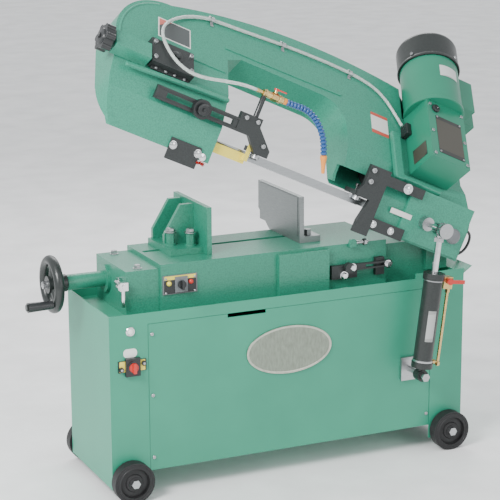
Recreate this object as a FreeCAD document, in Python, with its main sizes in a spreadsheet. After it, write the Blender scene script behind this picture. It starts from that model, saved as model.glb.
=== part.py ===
"""Horizontal band saw: cabinet, vise, pivoting saw bow, feed cylinder and coolant line.

Millimetres.  The saw is laid out with the cabinet's front left floor corner at zero, X to the
right along the blade, Y to the back and Z up.  The bow is laid out as it stands when it is
lowered, with its blade level, and is then turned up about its pivot to the stored angle.  The
wheel frame is the bow's own frame leaned back about the blade line, so that its Z is the wheels'
axis.  At the end everything moves so that zero is under the middle of the saw, on the floor.
"""
import FreeCAD, Part
import math
import os
import re
from FreeCAD import Placement, Rotation, Vector

os.makedirs("parts", exist_ok=True)
doc = FreeCAD.newDocument("band_saw")

DIMENSIONS = {
    # cabinet and tray
    "cabinet_length": 950, "cabinet_depth": 290, "cabinet_top": 426, "leg_bottom": 29,
    "left_stand_width": 96, "right_stand_width": 93, "sheet": 3, "panel_bottom": 64,
    "panel_fold": 20, "panel_gap": 1, "notch_length": 100, "notch_height": 9,
    "tray_height": 27, "tray_rise": 13, "chute_reach": 24, "chute_rise": 17,
    # bed
    "bed_left": 70, "bed_front": 70, "bed_back": 273, "bed_top": 537, "bed_wall": 12,
    "table_left": 155, "table_right": 760, "table_front": 62, "table_back": 285, "table_top": 547,
    "right_front": 75, "right_end": 900, "right_top": 532, "cavity_top": 520,
    "apron_left": 459, "apron_length": 136, "apron_out": 13, "apron_top": 540,
    "slot_width": 16, "slot_length": 400,
    # vise
    "vise_axis_back": 203, "vise_axis_height": 492, "screw_radius": 10, "wheel_bore_gap": 0.05,
    "opening": 240, "jaw_plate": 12, "fixed_jaw_face": 545, "jaw_length": 243,
    "fixed_jaw_height": 117, "moving_jaw_length": 213, "moving_jaw_height": 116,
    "jaw_foot_length": 98, "jaw_foot_width": 150, "jaw_foot": 15, "rib": 12, "lift": 0.3,
    "handwheel_radius": 58, "handwheel_rim": 12, "grip_radius": 12, "grip_length": 62,
    # transport wheels
    "caster_radius": 50, "caster_width": 26, "caster_axle": 6, "caster_track": 861,
    # bow
    "pivot_right": 916, "pivot_height": 551, "pivot_radius": 15, "stored_angle": 24.5,
    "wheel_lean": 45, "blade_front": 40, "blade_height": 545,
    "band_wheel_radius": 127, "band_wheel_width": 24, "band_wheel_web": 8, "idler_right": 66,
    "drive_right": 785, "blade_width": 19, "blade_thick": 0.9, "casting_wall": 8,
    "plate_front": 73, "casting_back": 17, "skirt_front": 20, "skirt_low": 495, "skirt_top": 582, "brow_up": 90,
     "cover_sheet": 2, "tension_up": 96, "axle_radius": 12.5,
    # drive
    "gearbox_left": 757, "gearbox_low": 78, "gearbox_wide": 118, "gearbox_tall": 181,
    "gearbox_deep": 94, "gearbox_wall": 6, "worm_right": 818, "worm_radius": 11,
    "worm_wheel_radius": 21.5, "motor_radius": 75, "motor_long": 146, "fan_long": 82,
    "motor_axis_front": 120,
    # feed cylinder
    "cylinder_radius": 24, "cylinder_long": 240, "cylinder_rod": 8, "cylinder_axis_front": 65,
    "cylinder_foot_right": 792, "cylinder_foot_height": 225,
    "cylinder_eye_right": 840, "cylinder_eye_height": 591,
    # coolant line
    "hose_radius": 4, "segment_radius": 8, "loop_radius": 3.5,
}

sheet = doc.addObject("Spreadsheet::Sheet", "dims")
for row, (alias, number) in enumerate(DIMENSIONS.items(), 1):
    sheet.set("A%d" % row, alias)
    sheet.set("B%d" % row, str(number))
    sheet.setAlias("B%d" % row, alias)
doc.recompute()


class Sizes:
    """The sheet's cells as plain numbers."""


size = Sizes()
for alias in DIMENSIONS:
    setattr(size, alias, float(sheet.get(alias)))

X = Vector(1, 0, 0)
Y = Vector(0, 1, 0)
Z = Vector(0, 0, 1)
NO_TURN = Rotation()
GAP = 0.3          # clear space between pieces of different bodies
FIT = 0.05         # radial running clearance of shafts
EPS = 1.0          # how far a cutting tool passes a face

PIVOT = Vector(size.pivot_right, 0, size.pivot_height)
BASE = Placement()
HEAD = Placement(Vector(0, 0, 0), Rotation(Y, size.stored_angle), PIVOT)
WHEEL_LOW = Placement(Vector(0, size.blade_front, size.blade_height), Rotation(X, size.wheel_lean))
WHEEL = HEAD * WHEEL_LOW

nodes = {}


# ---------------------------------------------------------------- helpers
def bind(obj, prop, formula):
    """Bind a size to a formula of the sheet's aliases, given as text, or set a plain number."""
    if not isinstance(formula, str):
        setattr(obj, prop, formula)
        return
    words = re.split(r"([A-Za-z_]+)", formula)
    obj.setExpression(prop, "".join("dims." + w if w in DIMENSIONS else w for w in words))


def box(name, sizes, at, turn=NO_TURN):
    obj = doc.addObject("Part::Box", name)
    for prop, formula in zip(("Length", "Width", "Height"), sizes):
        bind(obj, prop, formula)
    obj.Placement = Placement(Vector(*at), turn)
    return obj


def rod(name, radius, length, at, along=Z):
    obj = doc.addObject("Part::Cylinder", name)
    bind(obj, "Radius", radius)
    bind(obj, "Height", length)
    obj.Placement = Placement(Vector(*at), Rotation(Z, along))
    return obj


def ring(name, major, minor, at, along=Z):
    obj = doc.addObject("Part::Torus", name)
    bind(obj, "Radius1", major)
    bind(obj, "Radius2", minor)
    obj.Placement = Placement(Vector(*at), Rotation(Z, along))
    return obj


def ball(name, radius, at):
    obj = doc.addObject("Part::Sphere", name)
    bind(obj, "Radius", radius)
    obj.Placement = Placement(Vector(*at), NO_TURN)
    return obj


def cone(name, radius_a, radius_b, length, at, along=Z):
    obj = doc.addObject("Part::Cone", name)
    bind(obj, "Radius1", radius_a)
    bind(obj, "Radius2", radius_b)
    bind(obj, "Height", length)
    obj.Placement = Placement(Vector(*at), Rotation(Z, along))
    return obj


def hexagon(name, across, length, at, along=Z):
    """A hexagon bar, as a bolt's head or a nut."""
    obj = doc.addObject("Part::Prism", name)
    obj.Polygon = 6
    bind(obj, "Circumradius", across / math.sqrt(3))
    bind(obj, "Height", length)
    obj.Placement = Placement(Vector(*at), Rotation(Z, along))
    return obj


def fuse(name, shapes):
    obj = doc.addObject("Part::MultiFuse", name)
    obj.Shapes = shapes
    return obj


def cut(name, base, tools):
    obj = doc.addObject("Part::Cut", name)
    obj.Base = base
    obj.Tool = tools[0] if len(tools) == 1 else fuse(name + "_tools", tools)
    return obj


def common(name, first, second):
    obj = doc.addObject("Part::Common", name)
    obj.Base = first
    obj.Tool = second
    return obj


def padded_outline(name, points, depth, at=(0, 0, 0), turn=NO_TURN):
    """A PartDesign body: a closed outline of straight sides, padded by a bound depth."""
    body = doc.addObject("PartDesign::Body", name)
    sketch = body.newObject("Sketcher::SketchObject", name + "_sketch")
    plane = [f for f in body.Origin.OriginFeatures if f.Role == "XY_Plane"][0]
    sketch.AttachmentSupport = [(plane, "")]
    sketch.MapMode = "FlatFace"
    for start, end in zip(points, points[1:] + points[:1]):
        sketch.addGeometry(Part.LineSegment(Vector(start[0], start[1], 0), Vector(end[0], end[1], 0)), False)
    pad = body.newObject("PartDesign::Pad", name + "_pad")
    pad.Profile = sketch
    bind(pad, "Length", depth)
    body.Placement = Placement(Vector(*at), turn)
    return body


def shaped(name, shape):
    obj = doc.addObject("Part::Feature", name)
    obj.Shape = shape
    return obj


def node(name, pieces, frame=BASE):
    """Collect a sub-part's finished pieces under its own name and place them in their frame."""
    obj = doc.addObject("Part::Compound", name)
    obj.Links = pieces
    obj.Label = name
    obj.Placement = frame
    nodes[name] = obj
    return obj


def tube_along(points, radius, label):
    """A round tube on straight runs joined by tangent arcs, each as large as its runs allow."""
    points = [Vector(*p) for p in points]
    edges = []
    radii = []
    last = points[0]
    for before, corner, after in zip(points, points[1:], points[2:]):
        back = before - corner
        ahead = after - corner
        shorter = min(back.Length, ahead.Length)
        half_turn = (math.pi - back.getAngle(ahead)) / 2
        reach = 0.45 * shorter
        radii.append(reach / math.tan(half_turn))
        start = corner + back.normalize() * reach
        end = corner + ahead.normalize() * reach
        inward = (back + ahead).normalize()
        middle = corner + inward * (radii[-1] / math.cos(half_turn) - radii[-1])
        edges.append(Part.LineSegment(last, start).toShape())
        edges.append(Part.Arc(start, middle, end).toShape())
        last = end
    edges.append(Part.LineSegment(last, points[-1]).toShape())
    path = Part.Wire(edges)
    heading = (points[1] - points[0]).normalize()
    section = Part.Wire([Part.Circle(points[0], heading, radius).toShape()])
    tube = path.makePipeShell([section], True, False, 2)
    ratio = tube.Volume / (math.pi * radius ** 2 * path.Length)
    print("%s: length %.0f, smallest arc %.0f, volume ratio %.4f" % (label, path.Length, min(radii), ratio))
    return tube


# ---------------------------------------------------------------- cabinet
def cabinet():
    depth = size.cabinet_depth
    wall = size.sheet
    tall = "cabinet_top - leg_bottom"
    right_start = size.cabinet_length - size.right_stand_width

    left = box("left_stand_outer", ("left_stand_width", "cabinet_depth", tall), (0, 0, size.leg_bottom))
    left_hollow = box("left_stand_hollow", ("left_stand_width", "cabinet_depth - 2*sheet", tall),
                      (wall, wall, size.leg_bottom - wall))
    node("left_stand", [cut("left_stand_shell", left, [left_hollow])])

    right = box("right_stand_outer", ("right_stand_width", "cabinet_depth", tall),
                (right_start, 0, size.leg_bottom))
    right_hollow = box("right_stand_hollow", ("right_stand_width", "cabinet_depth - 2*sheet", tall),
                       (right_start - wall, wall, size.leg_bottom - wall))
    node("right_stand", [cut("right_stand_shell", right, [right_hollow])])

    panel_start = size.left_stand_width + size.panel_gap
    panel_long = "cabinet_length - left_stand_width - right_stand_width - 2*panel_gap"
    panel_tall = "cabinet_top - panel_bottom - panel_gap"
    front = box("front_panel_outer", (panel_long, "panel_fold", panel_tall),
                (panel_start, size.panel_gap, size.panel_bottom))
    front_hollow = box("front_panel_hollow", (panel_long + " - 2*sheet", "panel_fold", panel_tall + " - 2*sheet"),
                       (panel_start + wall, size.panel_gap + wall, size.panel_bottom + wall))
    notch_start = 300
    notch = box("front_panel_notch", ("notch_length", "panel_fold + 2", "notch_height*2"),
                (notch_start, 0, size.cabinet_top - size.panel_gap - size.notch_height))
    node("front_panel", [cut("front_panel_shell", front, [front_hollow, notch])])

    back = box("rear_panel_outer", (panel_long, "cabinet_depth - panel_fold - 3*panel_gap", panel_tall),
               (panel_start, size.panel_fold + 2 * size.panel_gap, size.panel_bottom))
    back_hollow = box("rear_panel_hollow",
                      (panel_long + " + 2", "cabinet_depth - panel_fold - sheet - 3*panel_gap + 1", panel_tall),
                      (panel_start - EPS, size.panel_fold + 2 * size.panel_gap - EPS, size.panel_bottom + wall))
    node("rear_panel", [cut("rear_panel_shell", back, [back_hollow])])

    tray = box("tray_outer", ("cabinet_length", "cabinet_depth", "tray_height"), (0, 0, size.cabinet_top))
    tray_hollow = box("tray_hollow", ("cabinet_length - 2*sheet", "cabinet_depth - 2*sheet", "tray_height"),
                      (wall, wall, size.cabinet_top + wall))
    lip_top = size.cabinet_top + size.tray_height
    rise_long = 138
    rise = box("tray_rise_front", (rise_long, "sheet", "tray_rise"),
               (size.cabinet_length - rise_long, 0, lip_top))
    chute = padded_outline(
        "tray_chute",
        [(size.cabinet_length - wall, lip_top), (size.cabinet_length, lip_top),
         (size.cabinet_length + size.chute_reach, lip_top + size.chute_rise),
         (size.cabinet_length + size.chute_reach - wall, lip_top + size.chute_rise)],
        "cabinet_depth", (0, depth, 0), Rotation(X, 90))
    open_tray = cut("tray_open", tray, [tray_hollow])
    node("chip_tray", [fuse("tray_all", [open_tray, rise, chute])])

    tank_at = (500, 45, size.panel_bottom + wall)
    tank = box("tank_outer", (300, 200, 120), tank_at)
    tank_hollow = box("tank_hollow", (294, 194, 114), (503, 48, tank_at[2] + 3))
    tank_filler = rod("tank_filler", 20, 10, (560, 150, tank_at[2] + 114))
    tank_mouth = rod("tank_pump_mouth", 22, 10, (700, 150, tank_at[2] + 114))
    node("coolant_tank", [cut("tank_shell", tank, [tank_hollow, tank_filler, tank_mouth])])
    pump_base = tank_at[2] + 120
    motor = rod("pump_motor", 45, 95, (700, 150, pump_base + 8))
    flange = rod("pump_flange", 55, 8, (700, 150, pump_base))
    stem = rod("pump_stem", 14, 90, (700, 150, pump_base - 90))
    outlet = rod("pump_outlet", 7, 34, (700, 110, pump_base + 24), Vector(0, -1, 0))
    node("coolant_pump", [fuse("pump_all", [motor, flange, stem, outlet])])


def transport_wheels():
    """Four plain wheels on stub axles outside the stands; the saw stands on them."""
    width = size.caster_width
    lefts = {"left": 45, "right": 45 + size.caster_track}
    axles = []
    for side, across in lefts.items():
        for end, face, out in (("front", 0, -1), ("rear", size.cabinet_depth, 1)):
            name = "transport_wheel_%s_%s" % (end, side)
            way = Vector(0, out, 0)
            spacer = 6
            start = face + out * (spacer + GAP)
            tyre = rod(name + "_tyre", "caster_radius", "caster_width", (across, start, size.caster_radius), way)
            dish_in = rod(name + "_dish", 36, 8, (across, start + out * (width - 7), size.caster_radius), way)
            hub = rod(name + "_hub", 15, "caster_width", (across, start, size.caster_radius), way)
            bore = rod(name + "_bore", "caster_axle + wheel_bore_gap", "caster_width + 2",
                       (across, start - out, size.caster_radius), way)
            dished = cut(name + "_dished", tyre, [dish_in])
            node(name, [cut(name + "_bored", fuse(name + "_whole", [dished, hub]), [bore])])
            pin = rod(name + "_pin", "caster_axle", 6.6 + width + 1,
                      (across, face, size.caster_radius), way)
            collar = rod(name + "_collar", 13, spacer, (across, face, size.caster_radius), way)
            head = hexagon(name + "_head", 19, 7,
                           (across, face + out * (6.6 + width), size.caster_radius), way)
            axles.append(fuse(name + "_axle", [pin, collar, head]))
    return axles


# ---------------------------------------------------------------- bed
def bed():
    floor = size.cabinet_top + size.sheet
    left = box("bed_left_block", ("table_left - bed_left", "bed_back - bed_front", "bed_top - cabinet_top - sheet"),
               (size.bed_left, size.bed_front, floor))
    table = box("bed_table_block",
                ("table_right - table_left", "table_back - table_front", "table_top - cabinet_top - sheet"),
                (size.table_left, size.table_front, floor))
    apron = box("bed_apron", ("apron_length", "apron_out", "apron_top - cabinet_top - sheet"),
                (size.apron_left, size.table_front - size.apron_out, floor))
    right = box("bed_right_block",
                ("right_end - table_right", "table_back - right_front", "right_top - cabinet_top - sheet"),
                (size.table_right, size.right_front, floor))
    lugs = []
    lug_wide = 60
    for tag, front, thick in (("front", size.table_front, 30), ("rear", size.table_back - 30, 30)):
        eye = rod("bed_lug_eye_" + tag, lug_wide / 2, thick, (size.pivot_right, front, size.pivot_height), Y)
        web = box("bed_lug_web_" + tag, (60, thick, 80), (size.pivot_right - 40, front, size.pivot_height - 95))
        lugs += [eye, web]
    solid = fuse("bed_solid", [left, table, apron, right] + lugs)

    wall = size.bed_wall
    cavity = box("bed_cavity", ("right_end - bed_left - 2*bed_wall", "bed_back - bed_front - 2*bed_wall + 8",
                                "cavity_top - cabinet_top"),
                 (size.bed_left + wall, size.bed_front + wall, size.cabinet_top))
    slot = box("bed_slot", ("slot_length", "slot_width", 60),
               (size.table_left + 10, size.vise_axis_back - size.slot_width / 2, size.cavity_top - 10))
    screw_hole = rod("bed_screw_hole", "screw_radius + 1", 30,
                     (size.bed_left - EPS, size.vise_axis_back, size.vise_axis_height), X)
    shaft_hole = rod("bed_shaft_hole", "pivot_radius", 240,
                     (size.pivot_right, size.table_front - EPS, size.pivot_height), Y)
    node("bed_casting", [cut("bed_cast", solid, [cavity, slot, screw_hole, shaft_hole])])

    tube_start = -32
    flange_thick = 8
    tube = rod("screw_tube", 19, size.bed_left - tube_start, (tube_start, size.vise_axis_back, size.vise_axis_height), X)
    flange = rod("screw_flange", 33, flange_thick,
                 (size.bed_left - flange_thick, size.vise_axis_back, size.vise_axis_height), X)
    bore = rod("screw_tube_bore", "screw_radius + wheel_bore_gap", 120,
               (tube_start - EPS, size.vise_axis_back, size.vise_axis_height), X)
    node("screw_housing", [cut("screw_housing_bored", fuse("screw_housing_whole", [tube, flange]), [bore])])

    shaft_start = 2
    shaft = rod("pivot_shaft_rod", "pivot_radius", 297 - shaft_start, (size.pivot_right, shaft_start, size.pivot_height), Y)
    node("pivot_shaft", [shaft])

    # a swinging stop arm on the apron, held by its hub bolt
    right_apron = size.apron_left + size.apron_length
    stop_block = box("stop_block", (70, 12, 34), (right_apron + 8, 50, 462))
    arm = box("stop_arm", (118, 8, 16), (right_apron + 44, 42, 482))
    arm_slot = box("stop_arm_slot", (52, 10, 7), (right_apron + 98, 41, 486.5))
    hub = rod("stop_hub", 13, 14, (right_apron + 52, 50, 490), Vector(0, -1, 0))
    foot = box("stop_foot", (24, 12, 44), (right_apron + 130, 50, 462))
    node("stop_link", [cut("stop_link_slotted", fuse("stop_link_whole", [stop_block, arm, hub, foot]), [arm_slot])])


# ---------------------------------------------------------------- vise
def vise():
    table = size.table_top
    axis = (size.vise_axis_back, size.vise_axis_height)
    face = size.fixed_jaw_face - size.opening

    jaw_front = 113
    plate = padded_outline(
        "fixed_jaw_plate",
        [(jaw_front, table + GAP), (size.table_back + 5, table + GAP),
         (jaw_front + size.jaw_length, table + 45),
         (jaw_front + size.jaw_length, table + size.fixed_jaw_height),
         (jaw_front, table + size.fixed_jaw_height)],
        "jaw_plate", (size.fixed_jaw_face, 0, 0), Rotation(0.5, 0.5, 0.5, 0.5))
    foot = box("fixed_jaw_foot", (46, 96, "jaw_foot"),
               (size.fixed_jaw_face + size.jaw_plate, jaw_front + 2, table + GAP))
    gusset = padded_outline("fixed_jaw_gusset",
                            [(0, 0), (40, 0), (0, 70)], "rib",
                            (size.fixed_jaw_face + size.jaw_plate, jaw_front + 110, table + GAP), Rotation(X, 90))
    clamp_bolt = hexagon("fixed_jaw_clamp_bolt", 17, 14,
                         (size.fixed_jaw_face + 33, jaw_front + 24, table + GAP + size.jaw_foot))
    swivel = (size.fixed_jaw_face + 35, 180)
    hole = rod("fixed_jaw_hole", 6 + FIT, 30, (swivel[0], swivel[1], table - EPS))
    node("fixed_jaw", [cut("fixed_jaw_bored", fuse("fixed_jaw_whole", [plate, foot, gusset, clamp_bolt]), [hole])])
    bolt = rod("jaw_bolt_shank", 6, size.jaw_foot + GAP * 2, (swivel[0], swivel[1], table))
    washer = rod("jaw_bolt_washer", 12, 3, (swivel[0], swivel[1], table + size.jaw_foot + GAP * 2))
    head = hexagon("jaw_bolt_head", 19, 12, (swivel[0], swivel[1], table + size.jaw_foot + GAP * 2 + 3))
    jaw_bolt = fuse("jaw_bolt_whole", [bolt, washer, head])

    moving_front = 103
    foot_at = (face - size.jaw_plate - size.jaw_foot_length + 12, 126, table + GAP)
    moving_plate = box("moving_jaw_plate", ("jaw_plate", "moving_jaw_length", "moving_jaw_height"),
                       (face - size.jaw_plate, moving_front, table + GAP))
    moving_foot = box("moving_jaw_foot", ("jaw_foot_length", "jaw_foot_width", "jaw_foot"), foot_at)
    ribs = []
    for index, back in enumerate((198, 274)):
        ribs.append(padded_outline(
            "moving_jaw_rib_%d" % index,
            [(0, 0), (-78, 0), (-78, 24), (-34, 96), (0, 96)], "rib",
            (face - size.jaw_plate, back, table + GAP + size.jaw_foot), Rotation(X, 90)))
    studs = []
    for index, (across, back) in enumerate(((228, 180), (270, 155))):
        studs.append(hexagon("moving_jaw_stud_%d" % index, 18, 32, (across, back, table + size.jaw_foot + 4)))
        studs.append(rod("moving_jaw_stud_washer_%d" % index, 14, 5, (across, back, table + size.jaw_foot)))
    node("movable_jaw", [fuse("movable_jaw_whole", [moving_plate, moving_foot] + ribs + studs)])

    nut_at = face - 100
    nut_block = box("vise_nut_block", (50, 30, 30), (nut_at, axis[0] - 15, axis[1] - 15))
    tongue = box("vise_nut_tongue", (40, "slot_width - 3", table + GAP - axis[1] - 10),
                 (nut_at + 5, axis[0] - size.slot_width / 2 + 1.5, axis[1] + 10))
    thread = rod("vise_nut_thread", "screw_radius + wheel_bore_gap", 60, (nut_at - 5, axis[0], axis[1]), X)
    node("vise_nut", [cut("vise_nut_bored", fuse("vise_nut_whole", [nut_block, tongue]), [thread])])

    screw_start = -82
    screw = rod("vise_screw_rod", "screw_radius", 530 - screw_start, (screw_start, axis[0], axis[1]), X)
    node("vise_screw", [screw])

    rim_at = -68
    rim = ring("handwheel_rim_ring", "handwheel_radius", "handwheel_rim", (rim_at, axis[0], axis[1]), X)
    hub = rod("handwheel_hub", 21, 46, (rim_at - 12, axis[0], axis[1]), X)
    spokes = []
    for index in range(3):
        angle = math.radians(222 + 120 * index)
        way = Vector(0, math.cos(angle), math.sin(angle))
        spokes.append(rod("handwheel_spoke_%d" % index, 8, "handwheel_radius", (rim_at, axis[0], axis[1]), way))
    hub_bore = rod("handwheel_bore", "screw_radius", 90, (rim_at - 20, axis[0], axis[1]), X)
    lean = math.radians(222)
    crank = (axis[0] + size.handwheel_radius * math.cos(lean), axis[1] + size.handwheel_radius * math.sin(lean))
    pin = rod("crank_pin", 5, 14 + size.grip_length, (rim_at, crank[0], crank[1]), Vector(-1, 0, 0))
    pin_head = rod("crank_pin_head", 8, 3, (rim_at - 14 - size.grip_length, crank[0], crank[1]), Vector(-1, 0, 0))
    wheel = cut("handwheel_bored", fuse("handwheel_whole", [rim, hub] + spokes), [hub_bore])
    node("vise_handwheel", [fuse("handwheel_with_pin", [wheel, pin, pin_head])])
    grip_end = rim_at - 13.5
    grip = cone("crank_grip_body", 10, "grip_radius", "grip_length", (grip_end, crank[0], crank[1]), Vector(-1, 0, 0))
    grip_bore = rod("crank_grip_bore", 5 + FIT, 80, (grip_end + EPS, crank[0], crank[1]), Vector(-1, 0, 0))
    node("crank_grip", [cut("crank_grip_bored", grip, [grip_bore])])

    stop = (60, 62, 506)
    stop_rod = rod("work_stop_rod", 6, 55, (stop[0], stop[1] - 12, stop[2]), Y)
    stop_ear = box("work_stop_ear", (12, 12, 24), (stop[0] - 2, stop[1] + 31, stop[2] - 12))
    node("work_stop", [fuse("work_stop_whole", [stop_rod, stop_ear])])
    finger_y = stop[1] - 2
    clamp = box("stop_finger_clamp", (20, 14, 20), (stop[0] - 10, finger_y - 7, stop[2] - 10))
    finger = rod("stop_finger_pin", 5, 44, (stop[0], finger_y, stop[2] - 50))
    finger_hole = rod("stop_finger_hole", 6 + FIT, 40, (stop[0], finger_y - 20, stop[2]), Y)
    node("stop_finger", [cut("stop_finger_bored", fuse("stop_finger_whole", [clamp, finger]), [finger_hole])])
    return jaw_bolt


# ---------------------------------------------------------------- switches
def switches():
    front = 0
    at = (55, 328)
    case = box("power_box_case", (36, 9, 44), (at[0] - 18, front - 9, at[1] - 22))
    backing = box("power_box_backing", (70, 2, 28), (at[0] - 35, front - 2, at[1] - 12))
    screws = []
    for index, (across, up) in enumerate(((-28, -4), (28, 6))):
        screws.append(rod("power_screw_%d" % index, 6, 7, (at[0] + across, front, at[1] + up), Vector(0, -1, 0)))
    node("power_switch", [fuse("power_box_whole", [case, backing] + screws)])
    grip = box("power_knob_grip", (7, 9, 24), (at[0] - 3.5, front - 9 - GAP - 14, at[1] - 12))
    disc = rod("power_knob_disc", 11, 6, (at[0], front - 9 - GAP, at[1]), Vector(0, -1, 0))
    node("power_knob", [fuse("power_knob_whole", [disc, grip])])

    mat = (205, size.table_front, 496)
    plate = box("control_plate_case", (88, 3, 46), (mat[0] - 46, mat[1] - 3, mat[2] - 23))
    plinth = box("control_plate_plinth", (32, 4, 38), (mat[0] - 16, mat[1] - 7, mat[2] - 19))
    node("control_plate", [fuse("control_plate_whole", [plate, plinth])])
    grip = box("motor_knob_grip", (6, 8, 22), (mat[0] - 3, mat[1] - 7 - GAP - 13, mat[2] - 11))
    disc = rod("motor_knob_disc", 10, 6, (mat[0], mat[1] - 7 - GAP, mat[2]), Vector(0, -1, 0))
    node("motor_knob", [fuse("motor_knob_whole", [disc, grip])])


# ---------------------------------------------------------------- feed cylinder
def feed_cylinder():
    """A barrel on a foot pin and a rod whose top eye hangs on a stud of the bow."""
    foot = Vector(size.cylinder_foot_right, -size.cylinder_axis_front, size.cylinder_foot_height)
    eye = Vector(size.cylinder_eye_right, -size.cylinder_axis_front, size.cylinder_eye_height)
    lean = math.degrees(math.atan2(eye.x - foot.x, eye.z - foot.z))
    frame = Placement(foot, Rotation(Y, lean))
    span = (eye - foot).Length
    bore = size.cylinder_rod + FIT
    forward = Vector(0, -1, 0)

    plate = box("cylinder_plate", (44, 8, 60), (foot.x - 22, -8, foot.z - 30))
    pin = rod("cylinder_pin", 7, 90, (foot.x, 0, foot.z), forward)
    nut = hexagon("cylinder_pin_nut", 19, 7, (foot.x, -86, foot.z), forward)
    node("cylinder_bracket", [fuse("cylinder_bracket_whole", [plate, pin, nut])])

    barrel = rod("barrel_tube", "cylinder_radius", "cylinder_long", (0, 0, 20))
    cap = rod("barrel_cap", 27, 16, (0, 0, 20 + size.cylinder_long - 16))
    lower = rod("barrel_lower_cap", 27, 14, (0, 0, 20))
    neck = rod("barrel_neck", 11, 14, (0, 0, 9))
    eye_ring = rod("barrel_eye", 15, 24, (0, 12, 0), forward)
    eye_bore = rod("barrel_eye_bore", 7 + FIT, 40, (0, 20, 0), forward)
    chamber = rod("barrel_chamber", 18, size.cylinder_long - 40, (0, 0, 36))
    rod_bore = rod("barrel_rod_bore", bore, 60, (0, 0, size.cylinder_long - 30))
    node("cylinder_barrel",
         [cut("barrel_bored", fuse("barrel_whole", [barrel, cap, lower, neck, eye_ring]),
              [eye_bore, chamber, rod_bore])], frame)

    piston_at = 130
    piston = rod("cylinder_piston", 18 - FIT, 18, (0, 0, piston_at))
    stem = rod("cylinder_stem", "cylinder_rod", span - piston_at - 14, (0, 0, piston_at))
    top = rod("cylinder_rod_eye", 18, 20, (0, 10, span), forward)
    slack = rod("cylinder_rod_eye_bore", 14.5, 40, (0, 20, span), forward)
    node("cylinder_rod", [cut("cylinder_rod_bored", fuse("cylinder_rod_whole", [piston, stem, top]), [slack])], frame)

    valve_up = 20 + size.cylinder_long - 30
    block = box("valve_block", (26, 22, 30), (size.cylinder_radius - 1 + 0.5, -11, valve_up - 8))
    block_seat = rod("valve_block_seat", "cylinder_radius + 3.01", 60, (0, 0, valve_up - 20))
    tube = rod("valve_tube", 4, 206, (44, 0, 24))
    elbow = rod("valve_elbow", 3, 24, (44, 0, 34), Vector(-1, 0, 0))
    elbow_seat = rod("valve_elbow_seat", "cylinder_radius + 3.01", 30, (0, 0, 15))
    node("cylinder_valve", [cut("valve_seated", fuse("valve_whole", [block, tube, elbow]), [block_seat, elbow_seat])],
         frame)
    lever_at = valve_up + 12
    stem_pin = rod("valve_lever_hub", 8, 10, (38, -11 - GAP, lever_at), forward)
    handle = box("valve_lever_handle", (44, 5, 9), (34, -22, lever_at - 4.5))
    node("cylinder_lever", [fuse("valve_lever_whole", [stem_pin, handle])], frame)


# ---------------------------------------------------------------- bow
def wheel_to_head(across, up, out):
    """A point of the wheel frame in the lowered bow's frame."""
    return WHEEL_LOW.multVec(Vector(across, up, out))


def polygon_face(points):
    return Part.Face(Part.makePolygon(points + points[:1]))


def bow_outline(inset):
    """The bow's outline in the wheel frame: a round left end, a rising back and a square right end."""
    radius = 150 - inset
    centre = Vector(size.idler_right, 150, 0)
    low = -75 + inset
    top_left = centre + Vector(0, radius, 0)
    left = centre - Vector(radius, 0, 0)
    lower_left = Vector(centre.x - 60, low, 0)
    knee = Vector(left.x, 44, 0)
    back_middle = Vector(430, 370 - inset, 0)
    back_end = Vector(790, 352 - inset, 0)
    right_end = 965 - inset
    edges = [
        Part.Arc(lower_left, Vector(left.x + 27, -34 + inset, 0), knee).toShape(),
        Part.LineSegment(knee, left).toShape(),
        Part.Arc(left, centre + Vector(-radius, radius, 0).normalize() * radius, top_left).toShape(),
        Part.Arc(top_left, back_middle, back_end).toShape(),
        Part.LineSegment(back_end, Vector(925 - inset, 290, 0)).toShape(),
        Part.LineSegment(Vector(925 - inset, 290, 0), Vector(925 - inset, 114, 0)).toShape(),
        Part.LineSegment(Vector(925 - inset, 114, 0), Vector(right_end, 40, 0)).toShape(),
        Part.LineSegment(Vector(right_end, 40, 0), Vector(right_end, low, 0)).toShape(),
        Part.LineSegment(Vector(right_end, low, 0), lower_left).toShape(),
    ]
    return Part.Face(Part.Wire(edges))


def bow_window(outset):
    """The opening between the two wheel housings, in the wheel frame, round at its right corners."""
    left = 222 - outset
    right = 570 + outset
    low = -200
    high = 222 + outset
    round_off = 72
    corner = Vector(right - round_off, high - round_off, 0)
    edges = [
        Part.LineSegment(Vector(left, low, 0), Vector(left, high - 20, 0)).toShape(),
        Part.LineSegment(Vector(left, high - 20, 0), Vector(left + 40, high, 0)).toShape(),
        Part.LineSegment(Vector(left + 40, high, 0), Vector(corner.x, high, 0)).toShape(),
        Part.Arc(Vector(corner.x, high, 0), corner + Vector(1, 1, 0).normalize() * round_off,
                 Vector(right, corner.y, 0)).toShape(),
        Part.LineSegment(Vector(right, corner.y, 0), Vector(right, 50, 0)).toShape(),
        Part.LineSegment(Vector(right, 50, 0), Vector(right + 70, low, 0)).toShape(),
        Part.LineSegment(Vector(right + 70, low, 0), Vector(left, low, 0)).toShape(),
    ]
    return Part.Face(Part.Wire(edges))


def moved_in(before, corner, after, inset):
    """A corner of a section across the bow after both of its sides move inward."""
    first = (corner - before).normalize()
    second = (after - corner).normalize()
    inward = (X.cross(first) + X.cross(second)).normalize() * -1
    half_turn = first.getAngle(second) / 2
    return corner + inward * (inset / math.cos(half_turn))


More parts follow.
